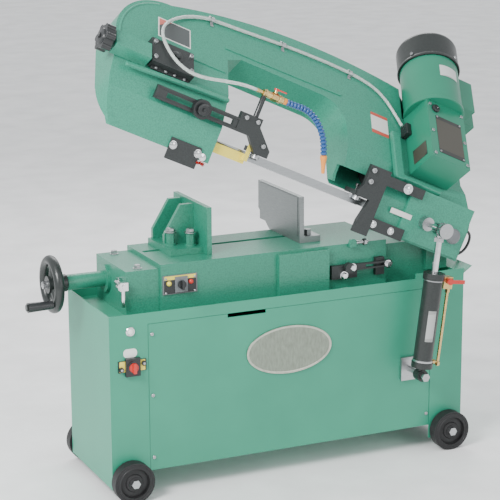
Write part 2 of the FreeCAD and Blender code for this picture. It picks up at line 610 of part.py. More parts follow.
def bow_section(inset, low, back):
    """The section across the bow: an upright skirt, a leaning band and a 45 degree face."""
    edge = Vector(0, size.skirt_front, low)
    knee = Vector(0, size.skirt_front, size.skirt_top)
    brow = wheel_to_head(0, size.brow_up, size.plate_front)
    crest = wheel_to_head(0, 400, size.plate_front)
    inside = Vector(0, size.skirt_front + size.casting_wall, 0)
    # the flat back runs down until it meets the skirt's inner face
    up = (inside.y - size.blade_front) * math.sqrt(2) - back
    foot = wheel_to_head(0, up, -back)
    points = [edge + Vector(0, inset, 0), moved_in(edge, knee, brow, inset), moved_in(knee, brow, crest, inset),
              wheel_to_head(0, 400, size.plate_front - inset), wheel_to_head(0, 400, -back), foot]
    if inset == 0:
        points.append(Vector(0, inside.y, low))
    return polygon_face(points)


def bow_casting():
    """One hollow casting: the section inside the bow's outline, less the same with walls taken off."""
    wall = size.casting_wall

    def column(face):
        solid = face.extrude(Vector(0, 0, 320))
        solid.Placement = WHEEL_LOW * Placement(Vector(0, 0, -150), NO_TURN)
        return solid

    def section(inset, low, back):
        face = bow_section(inset, low, back)
        face.translate(Vector(-200, 0, 0))
        return face.extrude(Vector(1400, 0, 0))

    outside = section(0, size.skirt_low, size.casting_back)
    outside = outside.common(column(bow_outline(0))).cut(column(bow_window(0)))
    hollow = section(wall, size.skirt_low - EPS, size.casting_back + EPS)
    hollow = hollow.common(column(bow_outline(wall))).cut(column(bow_window(wall)))
    return outside.cut(hollow)


def leaned(obj):
    """Set an object that is laid out in the wheel frame into the lowered bow's frame."""
    obj.Placement = WHEEL_LOW * obj.Placement
    return obj


def bow():
    plate = size.plate_front
    wall = size.casting_wall
    centre_up = size.band_wheel_radius
    cast = shaped("bow_shell", bow_casting())
    slide_slot = leaned(box("bow_slide_slot", (48, "2*axle_radius + 2", 40),
                            (size.idler_right - 20, centre_up - size.axle_radius - 1, plate - 30)))
    drive_hole = leaned(rod("bow_drive_hole", 24, 60, (size.drive_right, centre_up, plate - 30)))
    motor_room = leaned(rod("bow_motor_room", "motor_radius + 6", 300,
                            (size.worm_right, size.gearbox_low + size.gearbox_tall, size.motor_axis_front), Y))
    blade_path = box("bow_blade_path", (520, 60, 80), (200, 28.5, 488))
    lug_room = rod("bow_lug_room", 44, 60, (size.pivot_right, 60.5, size.pivot_height), Y)
    guide_room = box("bow_guide_room", (140, 70, 130), (550, 0, 480))
    opened = cut("bow_opened", cast, [slide_slot, drive_hole, motor_room, blade_path, lug_room, guide_room])

    hub = rod("bow_pivot_hub", 34, 42, (size.pivot_right, 19, size.pivot_height), Y)
    arm = box("bow_pivot_arm", (190, 9, 130), (size.pivot_right - 150, 12, 500))
    bearing = leaned(rod("bow_drive_bearing", 30, 34, (size.drive_right, centre_up, plate - 34)))
    grommet = leaned(box("bow_grommet", (14, 30, 16), (size.gearbox_left - 14.5, 194, plate - 1)))
    pivot_bore = rod("bow_pivot_bore", "pivot_radius + wheel_bore_gap", 90,
                     (size.pivot_right, 0, size.pivot_height), Y)
    bearing_bore = leaned(rod("bow_drive_bearing_bore", "axle_radius + wheel_bore_gap", 90,
                              (size.drive_right, centre_up, plate - 60)))
    bracket = leaned(box("tension_bracket_block", (92, 44, 34), (-98, size.tension_up - 22, plate - 4)))
    bracket_hole = leaned(rod("tension_bracket_hole", 7 + FIT, 128, (-130, size.tension_up, plate + 12), X))
    guide_stud = rod("bow_guide_stud", 5, 50, (146, 34, 606), Vector(0, -1, 0))
    whole = fuse("bow_whole", [opened, hub, arm, bearing, grommet, bracket, guide_stud])
    node("bow_casting", [cut("bow_bored", whole, [pivot_bore, bearing_bore, bracket_hole])], HEAD)

    outline = bow_outline(0).cut(bow_window(0))
    keep = polygon_face([Vector(-300, 38, 0), Vector(1100, 38, 0), Vector(1100, 500, 0), Vector(-300, 500, 0)])
    cover = outline.common(keep).extrude(Vector(0, 0, -size.cover_sheet))
    cover.translate(Vector(0, 0, -size.casting_back))
    cover_lug_room = rod("cover_lug_room", 60, 60, (size.pivot_right, 60.5, size.pivot_height), Y)
    cover_sheet = leaned(shaped("blade_cover_sheet", cover))
    node("blade_cover", [cut("blade_cover_cut", cover_sheet, [cover_lug_room])], HEAD)

    eye = Vector(size.cylinder_eye_right, 0, size.cylinder_eye_height)
    stud_at = HEAD.inverse().multVec(eye)
    forward = Vector(0, -1, 0)
    stud = rod("feed_stud_shank", 6, 108, (stud_at.x, 12, stud_at.z), forward)
    pad = rod("feed_stud_pad", 17, 20, (stud_at.x, 12, stud_at.z), forward)
    cap = rod("feed_stud_cap", 19, 8, (stud_at.x, -88, stud_at.z), forward)
    node("feed_stud", [fuse("feed_stud_whole", [stud, pad, cap])], HEAD)


def band_wheel(name, across):
    """A spoked-web wheel with a flanged rim; zero of its length is the blade's middle line."""
    half = size.band_wheel_width / 2
    up = size.band_wheel_radius
    tread = rod(name + "_tread", "band_wheel_radius - 0.4", "band_wheel_width", (across, up, -half))
    inside = rod(name + "_inside", "band_wheel_radius - 12", "band_wheel_width + 2", (across, up, -half - EPS))
    web = rod(name + "_web", "band_wheel_radius - 11", "band_wheel_web", (across, up, -size.band_wheel_web / 2))
    hub = rod(name + "_hub", 26, 30, (across, up, -half))
    holes = []
    for index in range(5):
        angle = math.radians(18 + 72 * index)
        holes.append(rod("%s_hole_%d" % (name, index), 22, 30,
                         (across + 72 * math.cos(angle), up + 72 * math.sin(angle), -15)))
    rim = cut(name + "_rim", tread, [inside])
    return cut(name + "_holed", fuse(name + "_whole", [rim, web, hub]), holes)


def saw_drive():
    up = size.band_wheel_radius
    half = size.band_wheel_width / 2
    right = size.drive_right
    worm = size.worm_right
    low = size.gearbox_low
    middle = size.motor_axis_front

    idler = band_wheel("idler", size.idler_right)
    idler_bore = rod("idler_bore", "axle_radius + wheel_bore_gap", 60, (size.idler_right, up, -30))
    node("idler_wheel", [cut("idler_bored", idler, [idler_bore])], WHEEL)
    drive = band_wheel("drive", right)
    shaft = rod("drive_shaft", "axle_radius", 150 + half, (right, up, -half))
    node("drive_wheel", [fuse("drive_with_shaft", [drive, shaft])], WHEEL)
    gear = rod("worm_gear_disc", "worm_wheel_radius", 16, (right, up, middle - 8))
    gear_bore = rod("worm_gear_bore", "axle_radius", 40, (right, up, middle - 20))
    teeth = []
    for index in range(24):
        angle = 2 * math.pi * index / 24
        teeth.append(rod("worm_gear_gap_%d" % index, 1.1, 20,
                         (right + size.worm_wheel_radius * math.cos(angle),
                          up + size.worm_wheel_radius * math.sin(angle), middle - 10)))
    node("worm_wheel", [cut("worm_gear", gear, [gear_bore] + teeth)], WHEEL)

    case = box("gearbox_case", ("gearbox_wide", "gearbox_tall", "gearbox_deep"),
               (size.gearbox_left, low, size.plate_front))
    room = box("gearbox_room", ("gearbox_wide - 2*gearbox_wall", "gearbox_tall - 2*gearbox_wall",
                                "gearbox_deep - 2*gearbox_wall"),
               (size.gearbox_left + size.gearbox_wall, low + size.gearbox_wall,
                size.plate_front + size.gearbox_wall))
    shaft_hole = rod("gearbox_shaft_hole", "axle_radius + wheel_bore_gap", 20, (right, up, size.plate_front - 5))
    worm_hole = rod("gearbox_worm_hole", 9 + FIT, 40, (worm, low + size.gearbox_tall - 20, middle), Y)
    node("gearbox_housing", [cut("gearbox_hollow", case, [room, shaft_hole, worm_hole])], WHEEL)

    base = low + size.gearbox_tall
    shell = rod("motor_shell", "motor_radius", "motor_long", (worm, base, middle), Y)
    shell_room = rod("motor_room", "motor_radius - 6", "motor_long", (worm, base + 8, middle), Y)
    shell_hole = rod("motor_hole", 9 + FIT, 20, (worm, base - EPS, middle), Y)
    node("motor_housing", [cut("motor_hollow", shell, [shell_room, shell_hole])], WHEEL)
    fan_base = base + size.motor_long
    dome = rod("fan_dome", "motor_radius + 4", "fan_long", (worm, fan_base, middle), Y)
    dome_edge = doc.addObject("Part::Fillet", "fan_dome_round")
    dome_edge.Base = dome
    doc.recompute()
    top_edges = [i + 1 for i, e in enumerate(dome.Shape.Edges)
                 if e.Curve.TypeId == "Part::GeomCircle" and e.Curve.Center.y > fan_base + EPS]
    dome_edge.Edges = [(i, 16, 16) for i in top_edges]
    dome_room = rod("fan_room", "motor_radius + 1.5", size.fan_long - 18, (worm, fan_base - EPS, middle), Y)
    vents = []
    for ring_index, (count, out) in enumerate(((6, 18), (12, 36), (18, 52))):
        for index in range(count):
            angle = 2 * math.pi * index / count
            vents.append(rod("fan_vent_%d_%d" % (ring_index, index), 4, 40,
                             (worm + out * math.cos(angle), fan_base + size.fan_long - 30,
                              middle + out * math.sin(angle)), Y))
    node("fan_cover", [cut("fan_cover_vented", dome_edge, [dome_room] + vents)], WHEEL)

    thread = rod("worm_thread", "worm_radius", 46, (worm, up - 23, middle), Y)
    rod_long = rod("rotor_shaft", 9, fan_base + 44 - up + 40, (worm, up - 40, middle), Y)
    core = rod("rotor_core", 56, 84, (worm, base + 30, middle), Y)
    fan_hub = rod("rotor_fan_hub", 18, 22, (worm, fan_base + 18, middle), Y)
    blades = []
    for index in range(8):
        angle = 45 * index
        blade = box("rotor_fan_blade_%d" % index, (46, 20, 3), (0, 0, 0))
        turned = Rotation(Y, angle)
        blade.Placement = Placement(Vector(worm, fan_base + 19, middle) + turned.multVec(Vector(14, 0, -1.5)), turned)
        blades.append(blade)
    node("motor_rotor", [fuse("rotor_whole", [thread, rod_long, core, fan_hub] + blades)], WHEEL)

    side = worm + size.motor_radius
    wiring = box("wiring_box", (48, 96, 54), (side - 12, base + 40, middle - 18))
    capacitor = box("capacitor_box", (76, 76, 56.5), (side + 2, base + 46, middle - 74))
    seat = rod("boxes_seat", "motor_radius + 0.01", 300, (worm, base - 20, middle), Y)
    node("motor_boxes", [cut("boxes_seated", fuse("boxes_whole", [wiring, capacitor]), [seat])], WHEEL)


def saw_blade():
    """A closed band: two half turns round the wheels, an upper run, and a lower run that
    twists upright between the guides."""
    half = size.blade_width / 2
    thick = size.blade_thick
    radius = size.band_wheel_radius
    left = Vector(size.idler_right, radius, 0)
    right = Vector(size.drive_right, radius, 0)

    def stadium(reach):
        return [
            Part.Arc(left - Vector(0, reach, 0), left - Vector(reach, 0, 0), left + Vector(0, reach, 0)).toShape(),
            Part.LineSegment(left + Vector(0, reach, 0), right + Vector(0, reach, 0)).toShape(),
            Part.Arc(right + Vector(0, reach, 0), right + Vector(reach, 0, 0), right - Vector(0, reach, 0)).toShape(),
        ]

    def end_of(centre):
        return Part.LineSegment(centre - Vector(0, radius + thick, 0), centre - Vector(0, radius, 0)).toShape()

    outline = stadium(radius + thick) + stadium(radius) + [end_of(left), end_of(right)]
    loop = Part.Face(Part.Wire(Part.__sortEdges__(outline)))
    loop.translate(Vector(0, 0, -half))
    loop = loop.extrude(Vector(0, 0, size.blade_width))

    def section(across, turn):
        """The band's cross-section on the lower run, turned about the run's middle line."""
        angle = math.radians(turn)
        wide = Vector(0, math.sin(angle), math.cos(angle)) * half
        thin = Vector(0, math.cos(angle), -math.sin(angle)) * (thick / 2)
        centre = Vector(across, -thick / 2, 0)
        corners = [centre + wide + thin, centre + wide - thin, centre - wide - thin, centre - wide + thin]
        return Part.makePolygon(corners + corners[:1])

    # level off the wheels, twisting, upright between the guides, and back again
    steps = 4
    flat = 60
    left_end = 300
    right_end = 650
    left_twist = left_end - left.x - flat
    right_twist = right.x - flat - right_end
    stations = [(left.x, 0)]
    stations += [(left.x + flat + left_twist * i / steps, size.wheel_lean * i / steps) for i in range(steps + 1)]
    stations += [(right_end + right_twist * i / steps, size.wheel_lean * (1 - i / steps)) for i in range(steps + 1)]
    stations.append((right.x, 0))
    pieces = [Part.makeLoft([section(*a), section(*b)], True, True) for a, b in zip(stations, stations[1:])]
    node("saw_blade", [shaped("saw_blade_band", loop.fuse(pieces))], WHEEL)


def blade_tension():
    up = size.band_wheel_radius
    front = size.plate_front
    block = box("tension_block", (112, 72, 22), (0, 78, front + GAP))
    axis_up = size.tension_up
    axis_out = front + 12
    screw_room = rod("tension_screw_room", 7 + FIT, 60, (-10, axis_up, axis_out), X)
    axle = rod("idler_axle", "axle_radius", front + 16, (size.idler_right, up, -15))
    washer = rod("idler_axle_end", 17, 3, (size.idler_right, up, -15.5))
    node("tension_slide", [fuse("tension_slide_whole", [cut("tension_block_bored", block, [screw_room]),
                                                       axle, washer])], WHEEL)
    screw = rod("tension_screw", 7, 158, (-128, axis_up, axis_out), X)
    knob = rod("tension_knob_body", 27, 22, (-128, axis_up, axis_out), X)
    lobes = []
    for index in range(6):
        angle = math.radians(60 * index)
        lobes.append(rod("tension_knob_lobe_%d" % index, 8, 22,
                         (-128, axis_up + 25 * math.cos(angle), axis_out + 25 * math.sin(angle)), X))
    node("tension_knob", [fuse("tension_knob_whole", [screw, knob] + lobes)], WHEEL)


def guide_rollers(side, across):
    """Two bearings that pinch the blade, on pins below their carrier."""
    pins = []
    low = size.blade_height
    blade_middle = size.blade_front - size.blade_thick / 2 * math.sin(math.radians(size.wheel_lean))
    for tag, out in (("front", -1), ("rear", 1)):
        place = (across, blade_middle + out * (10 + size.blade_thick / 2 + GAP))
        name = "%s_roller_%s" % (side, tag)
        body = rod(name + "_ring", 10, 9, (place[0], place[1], low + 1))
        bore = rod(name + "_bore", 4 + FIT, 20, (place[0], place[1], low - 5))
        node(name, [cut(name + "_bored", body, [bore])], HEAD)
        pins.append(rod(name + "_pin", 4, 14, (place[0], place[1], low - 2)))
        pins.append(rod(name + "_pin_head", 6, 2.5, (place[0], place[1], low - 2)))
    return pins


def blade_guides():
    flat = Rotation(X, 90)
    # the left guide hangs on a slotted bar that slides along the bow
    bar = box("left_bar", (236, 10, 32), (28, 6, 590))
    bar_slot = box("left_bar_slot", (180, 14, 12), (56, 4, 600))
    bracket = padded_outline(
        "left_bracket",
        [(248, 590), (248, 638), (306, 638), (306, 618), (352, 574), (352, 556), (316, 556), (286, 590)],
        14, (0, 18, 0), flat)
    carrier = box("left_carrier", (38, 46, 12), (315, 17, 556.5))
    arm = fuse("left_arm_whole", [bar, bracket, carrier] + guide_rollers("left", 334))
    node("left_guide_arm", [cut("left_arm_slotted", arm, [bar_slot])], HEAD)
    knob = rod("guide_knob_body", 23, 14, (146, 6 - GAP, 606), Vector(0, -1, 0))
    knob_hub = rod("guide_knob_hub", 11, 22, (146, 6 - GAP, 606), Vector(0, -1, 0))
    knob_bore = rod("guide_knob_bore", 5 + FIT, 60, (146, 20, 606), Vector(0, -1, 0))
    node("guide_knob", [cut("guide_knob_bored", fuse("guide_knob_whole", [knob, knob_hub]), [knob_bore])], HEAD)

    right_bar = box("right_bar", (120, 12, 25), (672, 0, 605))
    right_bracket = padded_outline(
        "right_bracket",
        [(622, 590), (622, 640), (682, 640), (682, 472), (640, 472), (640, 500), (652, 556), (612, 556), (612, 572)],
        12, (0, 12, 0), flat)
    right_carrier = box("right_carrier", (42, 58, 12), (611, 5, 556.5))
    foot = box("right_foot_plate", (110, 6, 30), (672, 6, 491))
    node("right_guide_arm",
         [fuse("right_arm_whole", [right_bar, right_bracket, right_carrier, foot] + guide_rollers("right", 632))], HEAD)

    guard = box("guard_outer", (88, 16, 24), (224, 32, 524))
    guard_room = box("guard_room", (100, 12, 24), (220, 34, 526))
    guard_tab = box("guard_tab", (10, 14.5, 16), (302, 18, 532))
    guard_hang = box("guard_hang", (10, 3, 50), (302, 18, 532))
    channel = cut("guard_channel", guard, [guard_room])
    node("blade_guard", [fuse("guard_whole", [channel, guard_tab, guard_hang])], HEAD)


def coolant_line():
    post = rod("valve_post", 5, 64, (286, 8, 638))
    barb = cone("valve_barb", 3.5, 4.5, 18, (280, 8, 697), Vector(-1, 0, 0))
    body = rod("valve_body", 8, 56, (280, 8, 697), X)
    hexes = hexagon("valve_hex", 19, 14, (304, 8, 697), X)
    stem = rod("valve_stem", 4, 8, (311, 8, 704))
    node("coolant_valve", [fuse("coolant_valve_whole", [post, barb, body, hexes, stem])], HEAD)
    hub = rod("tap_hub", 6, 5, (311, 8, 712 + GAP))
    blade = box("tap_blade", (30, 9, 3), (307, 3.5, 714))
    node("valve_lever", [fuse("tap_whole", [hub, blade])], HEAD)

    neck = [(336, 8, 697), (366, 8, 697), (400, 8, 700), (432, 8, 690), (462, 8, 667), (484, 8, 636), (496, 8, 604)]
    nozzle = cone("nozzle_cone", 8.5, 4, 34, (496, 8, 604), Vector(12, 0, -32))
    hose = shaped("segmented_tube", tube_along(neck, size.segment_radius, "segmented hose"))
    node("segmented_hose", [fuse("segmented_hose_whole", [hose, nozzle])], HEAD)

    route = [(262, 84.83, 130.12), (234, 84.83, 130.12), (184, 77, 125), (134, 71, 114), (97, 73, 108),
             (63, 88, 106), (38, 117, 105), (24, 153, 102), (29, 195, 92), (53, 237, 83), (100, 278, 80),
             (155, 301, 80), (195, 307, 79), (262, 313, 79), (330, 320, 79), (400, 327, 79), (466, 331, 79),
             (534, 333, 79), (600, 331, 79), (655, 322, 79), (694, 299, 79), (722, 262, 79), (742, 224.5, 81)]
    node("coolant_hose", [shaped("coolant_tube", tube_along(route, size.hose_radius, "coolant hose"))], WHEEL)

    # it leaves the bed level and enters the bow square to its end wall
    entry = HEAD.multVec(Vector(965, 56, 578))
    before_entry = HEAD.multVec(Vector(986, 56, 578))
    loop = [(946, 76, 480), (972, 76, 480), (994, 74, 490), (1005, 68, 512), (1003, 60, 534),
            tuple(before_entry), tuple(entry)]
    node("cable_loop", [shaped("cable_loop_tube", tube_along(loop, size.loop_radius, "cable loop"))])


cabinet()
axles = transport_wheels()
bed()
jaw_bolt = vise()
node("axle_and_jaw_bolts", axles + [jaw_bolt])
switches()
feed_cylinder()
bow()
saw_drive()
saw_blade()
blade_tension()
blade_guides()
coolant_line()
doc.recompute()

# zero under the middle of the saw, on the floor; the free cable doesn't count
whole = FreeCAD.BoundBox()
for name, obj in nodes.items():
    if name not in ("coolant_hose", "cable_loop"):
        whole.add(obj.Shape.optimalBoundingBox(False))
shift = Placement(Vector(-whole.Center.x, -whole.Center.y, -whole.ZMin), NO_TURN)
for obj in nodes.values():
    obj.Placement = shift * obj.Placement
doc.recompute()
print("shift", shift.Base, "size", whole.XLength, whole.YLength, whole.ZLength)

for obj in doc.Objects:
    if "Invalid" in obj.State or "Error" in obj.State:
        raise RuntimeError("%s failed: %s" % (obj.Name, obj.State))
for name, obj in nodes.items():
    if obj.Shape.isNull() or not obj.Shape.isValid():
        raise RuntimeError("%s has no valid shape" % name)
    obj.Shape.exportStep("parts/%s.step" % name)
print(len(nodes), "nodes")
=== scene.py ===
"""The look of a horizontal band saw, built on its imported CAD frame.

Metres in the row frame.  Pieces are laid out in millimetres in one of three frames, as the saw
itself is: CABINET has zero at the cabinet's front left floor corner, X right, Y back and Z up.
BOW is the same with the bow lowered level.  WHEELS leans back 45 degrees about the blade line,
so that its Z is the band wheels' axis.
"""

import math
import random

import bmesh
import bpy
from mathutils import Matrix, Vector


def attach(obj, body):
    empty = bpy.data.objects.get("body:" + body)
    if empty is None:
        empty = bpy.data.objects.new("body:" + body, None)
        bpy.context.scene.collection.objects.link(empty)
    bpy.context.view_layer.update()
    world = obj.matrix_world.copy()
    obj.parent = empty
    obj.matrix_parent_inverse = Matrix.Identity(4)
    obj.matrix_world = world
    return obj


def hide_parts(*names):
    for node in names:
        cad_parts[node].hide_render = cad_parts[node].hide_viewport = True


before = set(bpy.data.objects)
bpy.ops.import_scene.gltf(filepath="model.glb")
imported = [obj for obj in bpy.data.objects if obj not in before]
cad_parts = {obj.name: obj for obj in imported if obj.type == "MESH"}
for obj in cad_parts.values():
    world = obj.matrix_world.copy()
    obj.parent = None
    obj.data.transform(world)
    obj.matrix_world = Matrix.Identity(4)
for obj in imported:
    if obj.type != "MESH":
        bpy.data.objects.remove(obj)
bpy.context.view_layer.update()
random.seed(7)

# ---------------------------------------------------------------- frames
MM = 0.001
ORIGIN = Vector((-0.479169, -0.130, 0.0))
PIVOT = Vector((916, 0, 551))
BOW_RAISED = 24.5           # degrees above level in the stored pose
BOW_LEAN = 45               # degrees that the wheels lean back
CYLINDER_LEAN = 7.47        # degrees from upright
CASTING_FACE = 73           # height of the bow's front face in the WHEELS frame
GEARBOX_FACE = 167          # height of the gearbox cover's face in the WHEELS frame
HOSE_RADIUS = 4.0
CABLE_RADIUS = 3.5
CABINET = Matrix.Translation(ORIGIN) @ Matrix.Scale(MM, 4)
BOW = (CABINET @ Matrix.Translation(PIVOT) @ Matrix.Rotation(math.radians(BOW_RAISED), 4, "Y")
       @ Matrix.Translation(-PIVOT))
WHEELS = BOW @ Matrix.Translation((0, 40, 545)) @ Matrix.Rotation(math.radians(BOW_LEAN), 4, "X")
CYLINDER = (CABINET @ Matrix.Translation((792, -65, 225))
            @ Matrix.Rotation(math.radians(CYLINDER_LEAN), 4, "Y"))
FRONT = Matrix.Rotation(math.radians(90), 4, "X")      # local Z turned to face the front


# ---------------------------------------------------------------- camera, light and floor
def camera():
    data = bpy.data.cameras.new("camera")
    data.lens = 126.0
    data.sensor_width = 36.0
    data.clip_end = 50
    cam = bpy.data.objects.new("camera", data)
    right = Vector((0.9100, -0.4147, 0.0)).normalized()
    back = Vector((-0.4029, -0.8841, 0.2368)).normalized()
    up = back.cross(right).normalized()
    right = up.cross(back)
    roll = Matrix.Rotation(math.radians(-0.3), 3, "Z")
    turn = (Matrix((right, up, back)).transposed() @ roll).to_4x4()
    place = CABINET @ Vector((-1310.1, -3661.6, 1556.1))
    cam.matrix_world = Matrix.Translation(place) @ turn
    bpy.context.scene.collection.objects.link(cam)
    bpy.context.scene.camera = cam


def soft_light(name, place, target, size, watts):
    data = bpy.data.lights.new(name, "AREA")
    data.shape = "RECTANGLE"
    data.size = size[0]
    data.size_y = size[1]
    data.energy = watts
    lamp = bpy.data.objects.new(name, data)
    lamp.location = place
    lamp.rotation_euler = (Vector(target) - Vector(place)).to_track_quat("-Z", "Y").to_euler()
    bpy.context.scene.collection.objects.link(lamp)


def studio():
    world = bpy.data.worlds.new("studio")
    bpy.context.scene.world = world
    world.use_nodes = True
    background = world.node_tree.nodes["Background"]
    background.inputs["Color"].default_value = (0.96, 0.98, 1.0, 1)
    background.inputs["Strength"].default_value = 1.05
    soft_light("key", (-2.6, -1.5, 2.6), (0, 0, 0.6), (1.3, 1.1), 150)
    soft_light("fill", (1.2, -3.2, 1.6), (0, 0, 0.5), (1.4, 1.4), 18)
    soft_light("rim", (0.8, 2.4, 2.6), (0, 0, 0.7), (2.4, 1.2), 45)
    mesh = bpy.data.meshes.new("floor")
    shape = bmesh.new()
    bmesh.ops.create_grid(shape, x_segments=1, y_segments=1, size=14)
    shape.to_mesh(mesh)
    shape.free()
    floor = bpy.data.objects.new("floor", mesh)
    bpy.context.scene.collection.objects.link(floor)
    floor.data.materials.append(smooth_paint("floor_paint", (0.93, 0.93, 0.93), 0.8, 60, 0.02))


# ---------------------------------------------------------------- materials
def blank_material(name, roughness=0.5, metallic=0.0, coat=0.0, specular=0.5):
    """A material, its node tree and its shader."""
    mat = bpy.data.materials.new(name)
    mat.use_nodes = True
    tree = mat.node_tree
    shader = tree.nodes["Principled BSDF"]
    shader.inputs["Roughness"].default_value = roughness
    shader.inputs["Metallic"].default_value = metallic
    shader.inputs["Coat Weight"].default_value = coat
    shader.inputs["Coat Roughness"].default_value = 0.12
    shader.inputs["Specular IOR Level"].default_value = specular
    return mat, tree, shader


def noise(tree, scale, detail=4.0, stretch=(1, 1, 1), roughness=0.55):
    place = tree.nodes.new("ShaderNodeTexCoord")
    mapping = tree.nodes.new("ShaderNodeMapping")
    mapping.inputs["Scale"].default_value = stretch
    texture = tree.nodes.new("ShaderNodeTexNoise")
    texture.inputs["Scale"].default_value = scale
    texture.inputs["Detail"].default_value = detail
    texture.inputs["Roughness"].default_value = roughness
    tree.links.new(place.outputs["Object"], mapping.inputs["Vector"])
    tree.links.new(mapping.outputs["Vector"], texture.inputs["Vector"])
    return texture


def ramp(tree, source, stops):
    node = tree.nodes.new("ShaderNodeValToRGB")
    elements = node.color_ramp.elements
    while len(elements) < len(stops):
        elements.new(0.5)
    for element, (place, colour) in zip(elements, stops):
        element.position = place
        element.color = (*colour, 1)
    tree.links.new(source, node.inputs["Fac"])
    return node


def bump(tree, shader, height, strength, distance=0.001):
    node = tree.nodes.new("ShaderNodeBump")
    node.inputs["Strength"].default_value = strength
    node.inputs["Distance"].default_value = distance
    tree.links.new(height, node.inputs["Height"])
    tree.links.new(node.outputs["Normal"], shader.inputs["Normal"])
    return node


def shades(colour, low, high):
    return tuple(c * low for c in colour), tuple(min(1.0, c * high) for c in colour)


def rough_range(tree, shader, source, low, high):
    """Roughness that follows a texture between two values."""
    spread = tree.nodes.new("ShaderNodeMapRange")
    spread.inputs["To Min"].default_value = low
    spread.inputs["To Max"].default_value = high
    tree.links.new(source, spread.inputs["Value"])
    tree.links.new(spread.outputs["Result"], shader.inputs["Roughness"])


def smooth_paint(name, colour, roughness=0.35, grain=260, strength=0.12, coat=0.0):
    """Sprayed enamel with a faint orange peel and slow changes of shade."""
    mat, tree, shader = blank_material(name, roughness, coat=coat)
    slow = noise(tree, 5, 3)
    dark, light = shades(colour, 0.93, 1.07)
    tree.links.new(ramp(tree, slow.outputs["Fac"], [(0.3, dark), (0.7, light)]).outputs["Color"],
                   shader.inputs["Base Color"])
    peel = noise(tree, grain, 3)
    rough_range(tree, shader, peel.outputs["Fac"], roughness - 0.06, roughness + 0.08)
    bump(tree, shader, peel.outputs["Fac"], strength, 0.0006)
    return mat


def hammered_paint(name, colour, cell=330, strength=0.45, roughness=0.3):
    """Hammer-finish enamel: shallow dimples of a few millimetres over rough cast iron."""
    mat, tree, shader = blank_material(name, roughness, coat=0.1)
    place = tree.nodes.new("ShaderNodeTexCoord")
    dimples = tree.nodes.new("ShaderNodeTexVoronoi")
    dimples.feature = "SMOOTH_F1"
    dimples.inputs["Scale"].default_value = cell
    dimples.inputs["Smoothness"].default_value = 0.7
    tree.links.new(place.outputs["Object"], dimples.inputs["Vector"])
    dark, light = shades(colour, 0.82, 1.16)
    tree.links.new(ramp(tree, dimples.outputs["Distance"], [(0.05, light), (0.75, dark)]).outputs["Color"],
                   shader.inputs["Base Color"])
    sand = noise(tree, 900, 2)
    mix = tree.nodes.new("ShaderNodeMath")
    mix.operation = "MULTIPLY_ADD"
    mix.inputs[1].default_value = 0.25
    tree.links.new(sand.outputs["Fac"], mix.inputs[0])
    tree.links.new(dimples.outputs["Distance"], mix.inputs[2])
    rough_range(tree, shader, sand.outputs["Fac"], roughness - 0.05, roughness + 0.12)
    bump(tree, shader, mix.outputs["Value"], strength, 0.0009)
    return mat


def cast_paint(name, colour, roughness=0.5, grain=420, strength=0.5):
    """Painted sand casting or phosphated steel: fine grain and dull patches."""
    mat, tree, shader = blank_material(name, roughness, coat=0.05)
    grit = noise(tree, grain, 6, roughness=0.7)
    dark, light = shades(colour, 0.7, 1.5)
    tree.links.new(ramp(tree, grit.outputs["Fac"], [(0.35, dark), (0.7, light)]).outputs["Color"],
                   shader.inputs["Base Color"])
    wear = noise(tree, 30, 5)
    rough_range(tree, shader, wear.outputs["Fac"], roughness - 0.14, roughness + 0.12)
    bump(tree, shader, grit.outputs["Fac"], strength, 0.0008)
    return mat


def metal(name, colour, roughness=0.3, stretch=(1, 1, 1), grain=300, strength=0.15):
    """Bare metal; stretched noise gives brushed or ground lines."""
    mat, tree, shader = blank_material(name, roughness, metallic=1.0)
    lines = noise(tree, grain, 5, stretch)
    dark, light = shades(colour, 0.8, 1.12)
    tree.links.new(ramp(tree, lines.outputs["Fac"], [(0.3, dark), (0.7, light)]).outputs["Color"],
                   shader.inputs["Base Color"])
    rough_range(tree, shader, lines.outputs["Fac"], max(0.04, roughness - 0.08), roughness + 0.12)
    bump(tree, shader, lines.outputs["Fac"], strength, 0.0003)
    return mat


def clear_vinyl(name):
    mat, tree, shader = blank_material(name, 0.22, specular=0.6)
    haze = noise(tree, 90, 3)
    tree.links.new(ramp(tree, haze.outputs["Fac"], [(0.3, (0.62, 0.70, 0.66)), (0.7, (0.80, 0.86, 0.82))])
                   .outputs["Color"], shader.inputs["Base Color"])
    shader.inputs["Transmission Weight"].default_value = 0.45
    shader.inputs["IOR"].default_value = 1.42
    bump(tree, shader, haze.outputs["Fac"], 0.1, 0.0005)
    return mat


def banded_label(name, field, band, low, high, axis="Z"):
    """A blank printed plate: a plain field between two coloured bands."""
    mat, tree, shader = blank_material(name, 0.42, coat=0.2)
    place = tree.nodes.new("ShaderNodeTexCoord")
    split = tree.nodes.new("ShaderNodeSeparateXYZ")
    tree.links.new(place.outputs["Generated"], split.inputs["Vector"])
    bands = ramp(tree, split.outputs[axis], [(0.0, band), (low, field), (high, band)])
    bands.color_ramp.interpolation = "CONSTANT"
    speck = noise(tree, 700, 2)
    blend = tree.nodes.new("ShaderNodeMixRGB")
    blend.blend_type = "MULTIPLY"
    blend.inputs["Fac"].default_value = 0.12
    tree.links.new(bands.outputs["Color"], blend.inputs["Color1"])
    tree.links.new(speck.outputs["Color"], blend.inputs["Color2"])
    tree.links.new(blend.outputs["Color"], shader.inputs["Base Color"])
    bump(tree, shader, speck.outputs["Fac"], 0.05, 0.0003)
    return mat


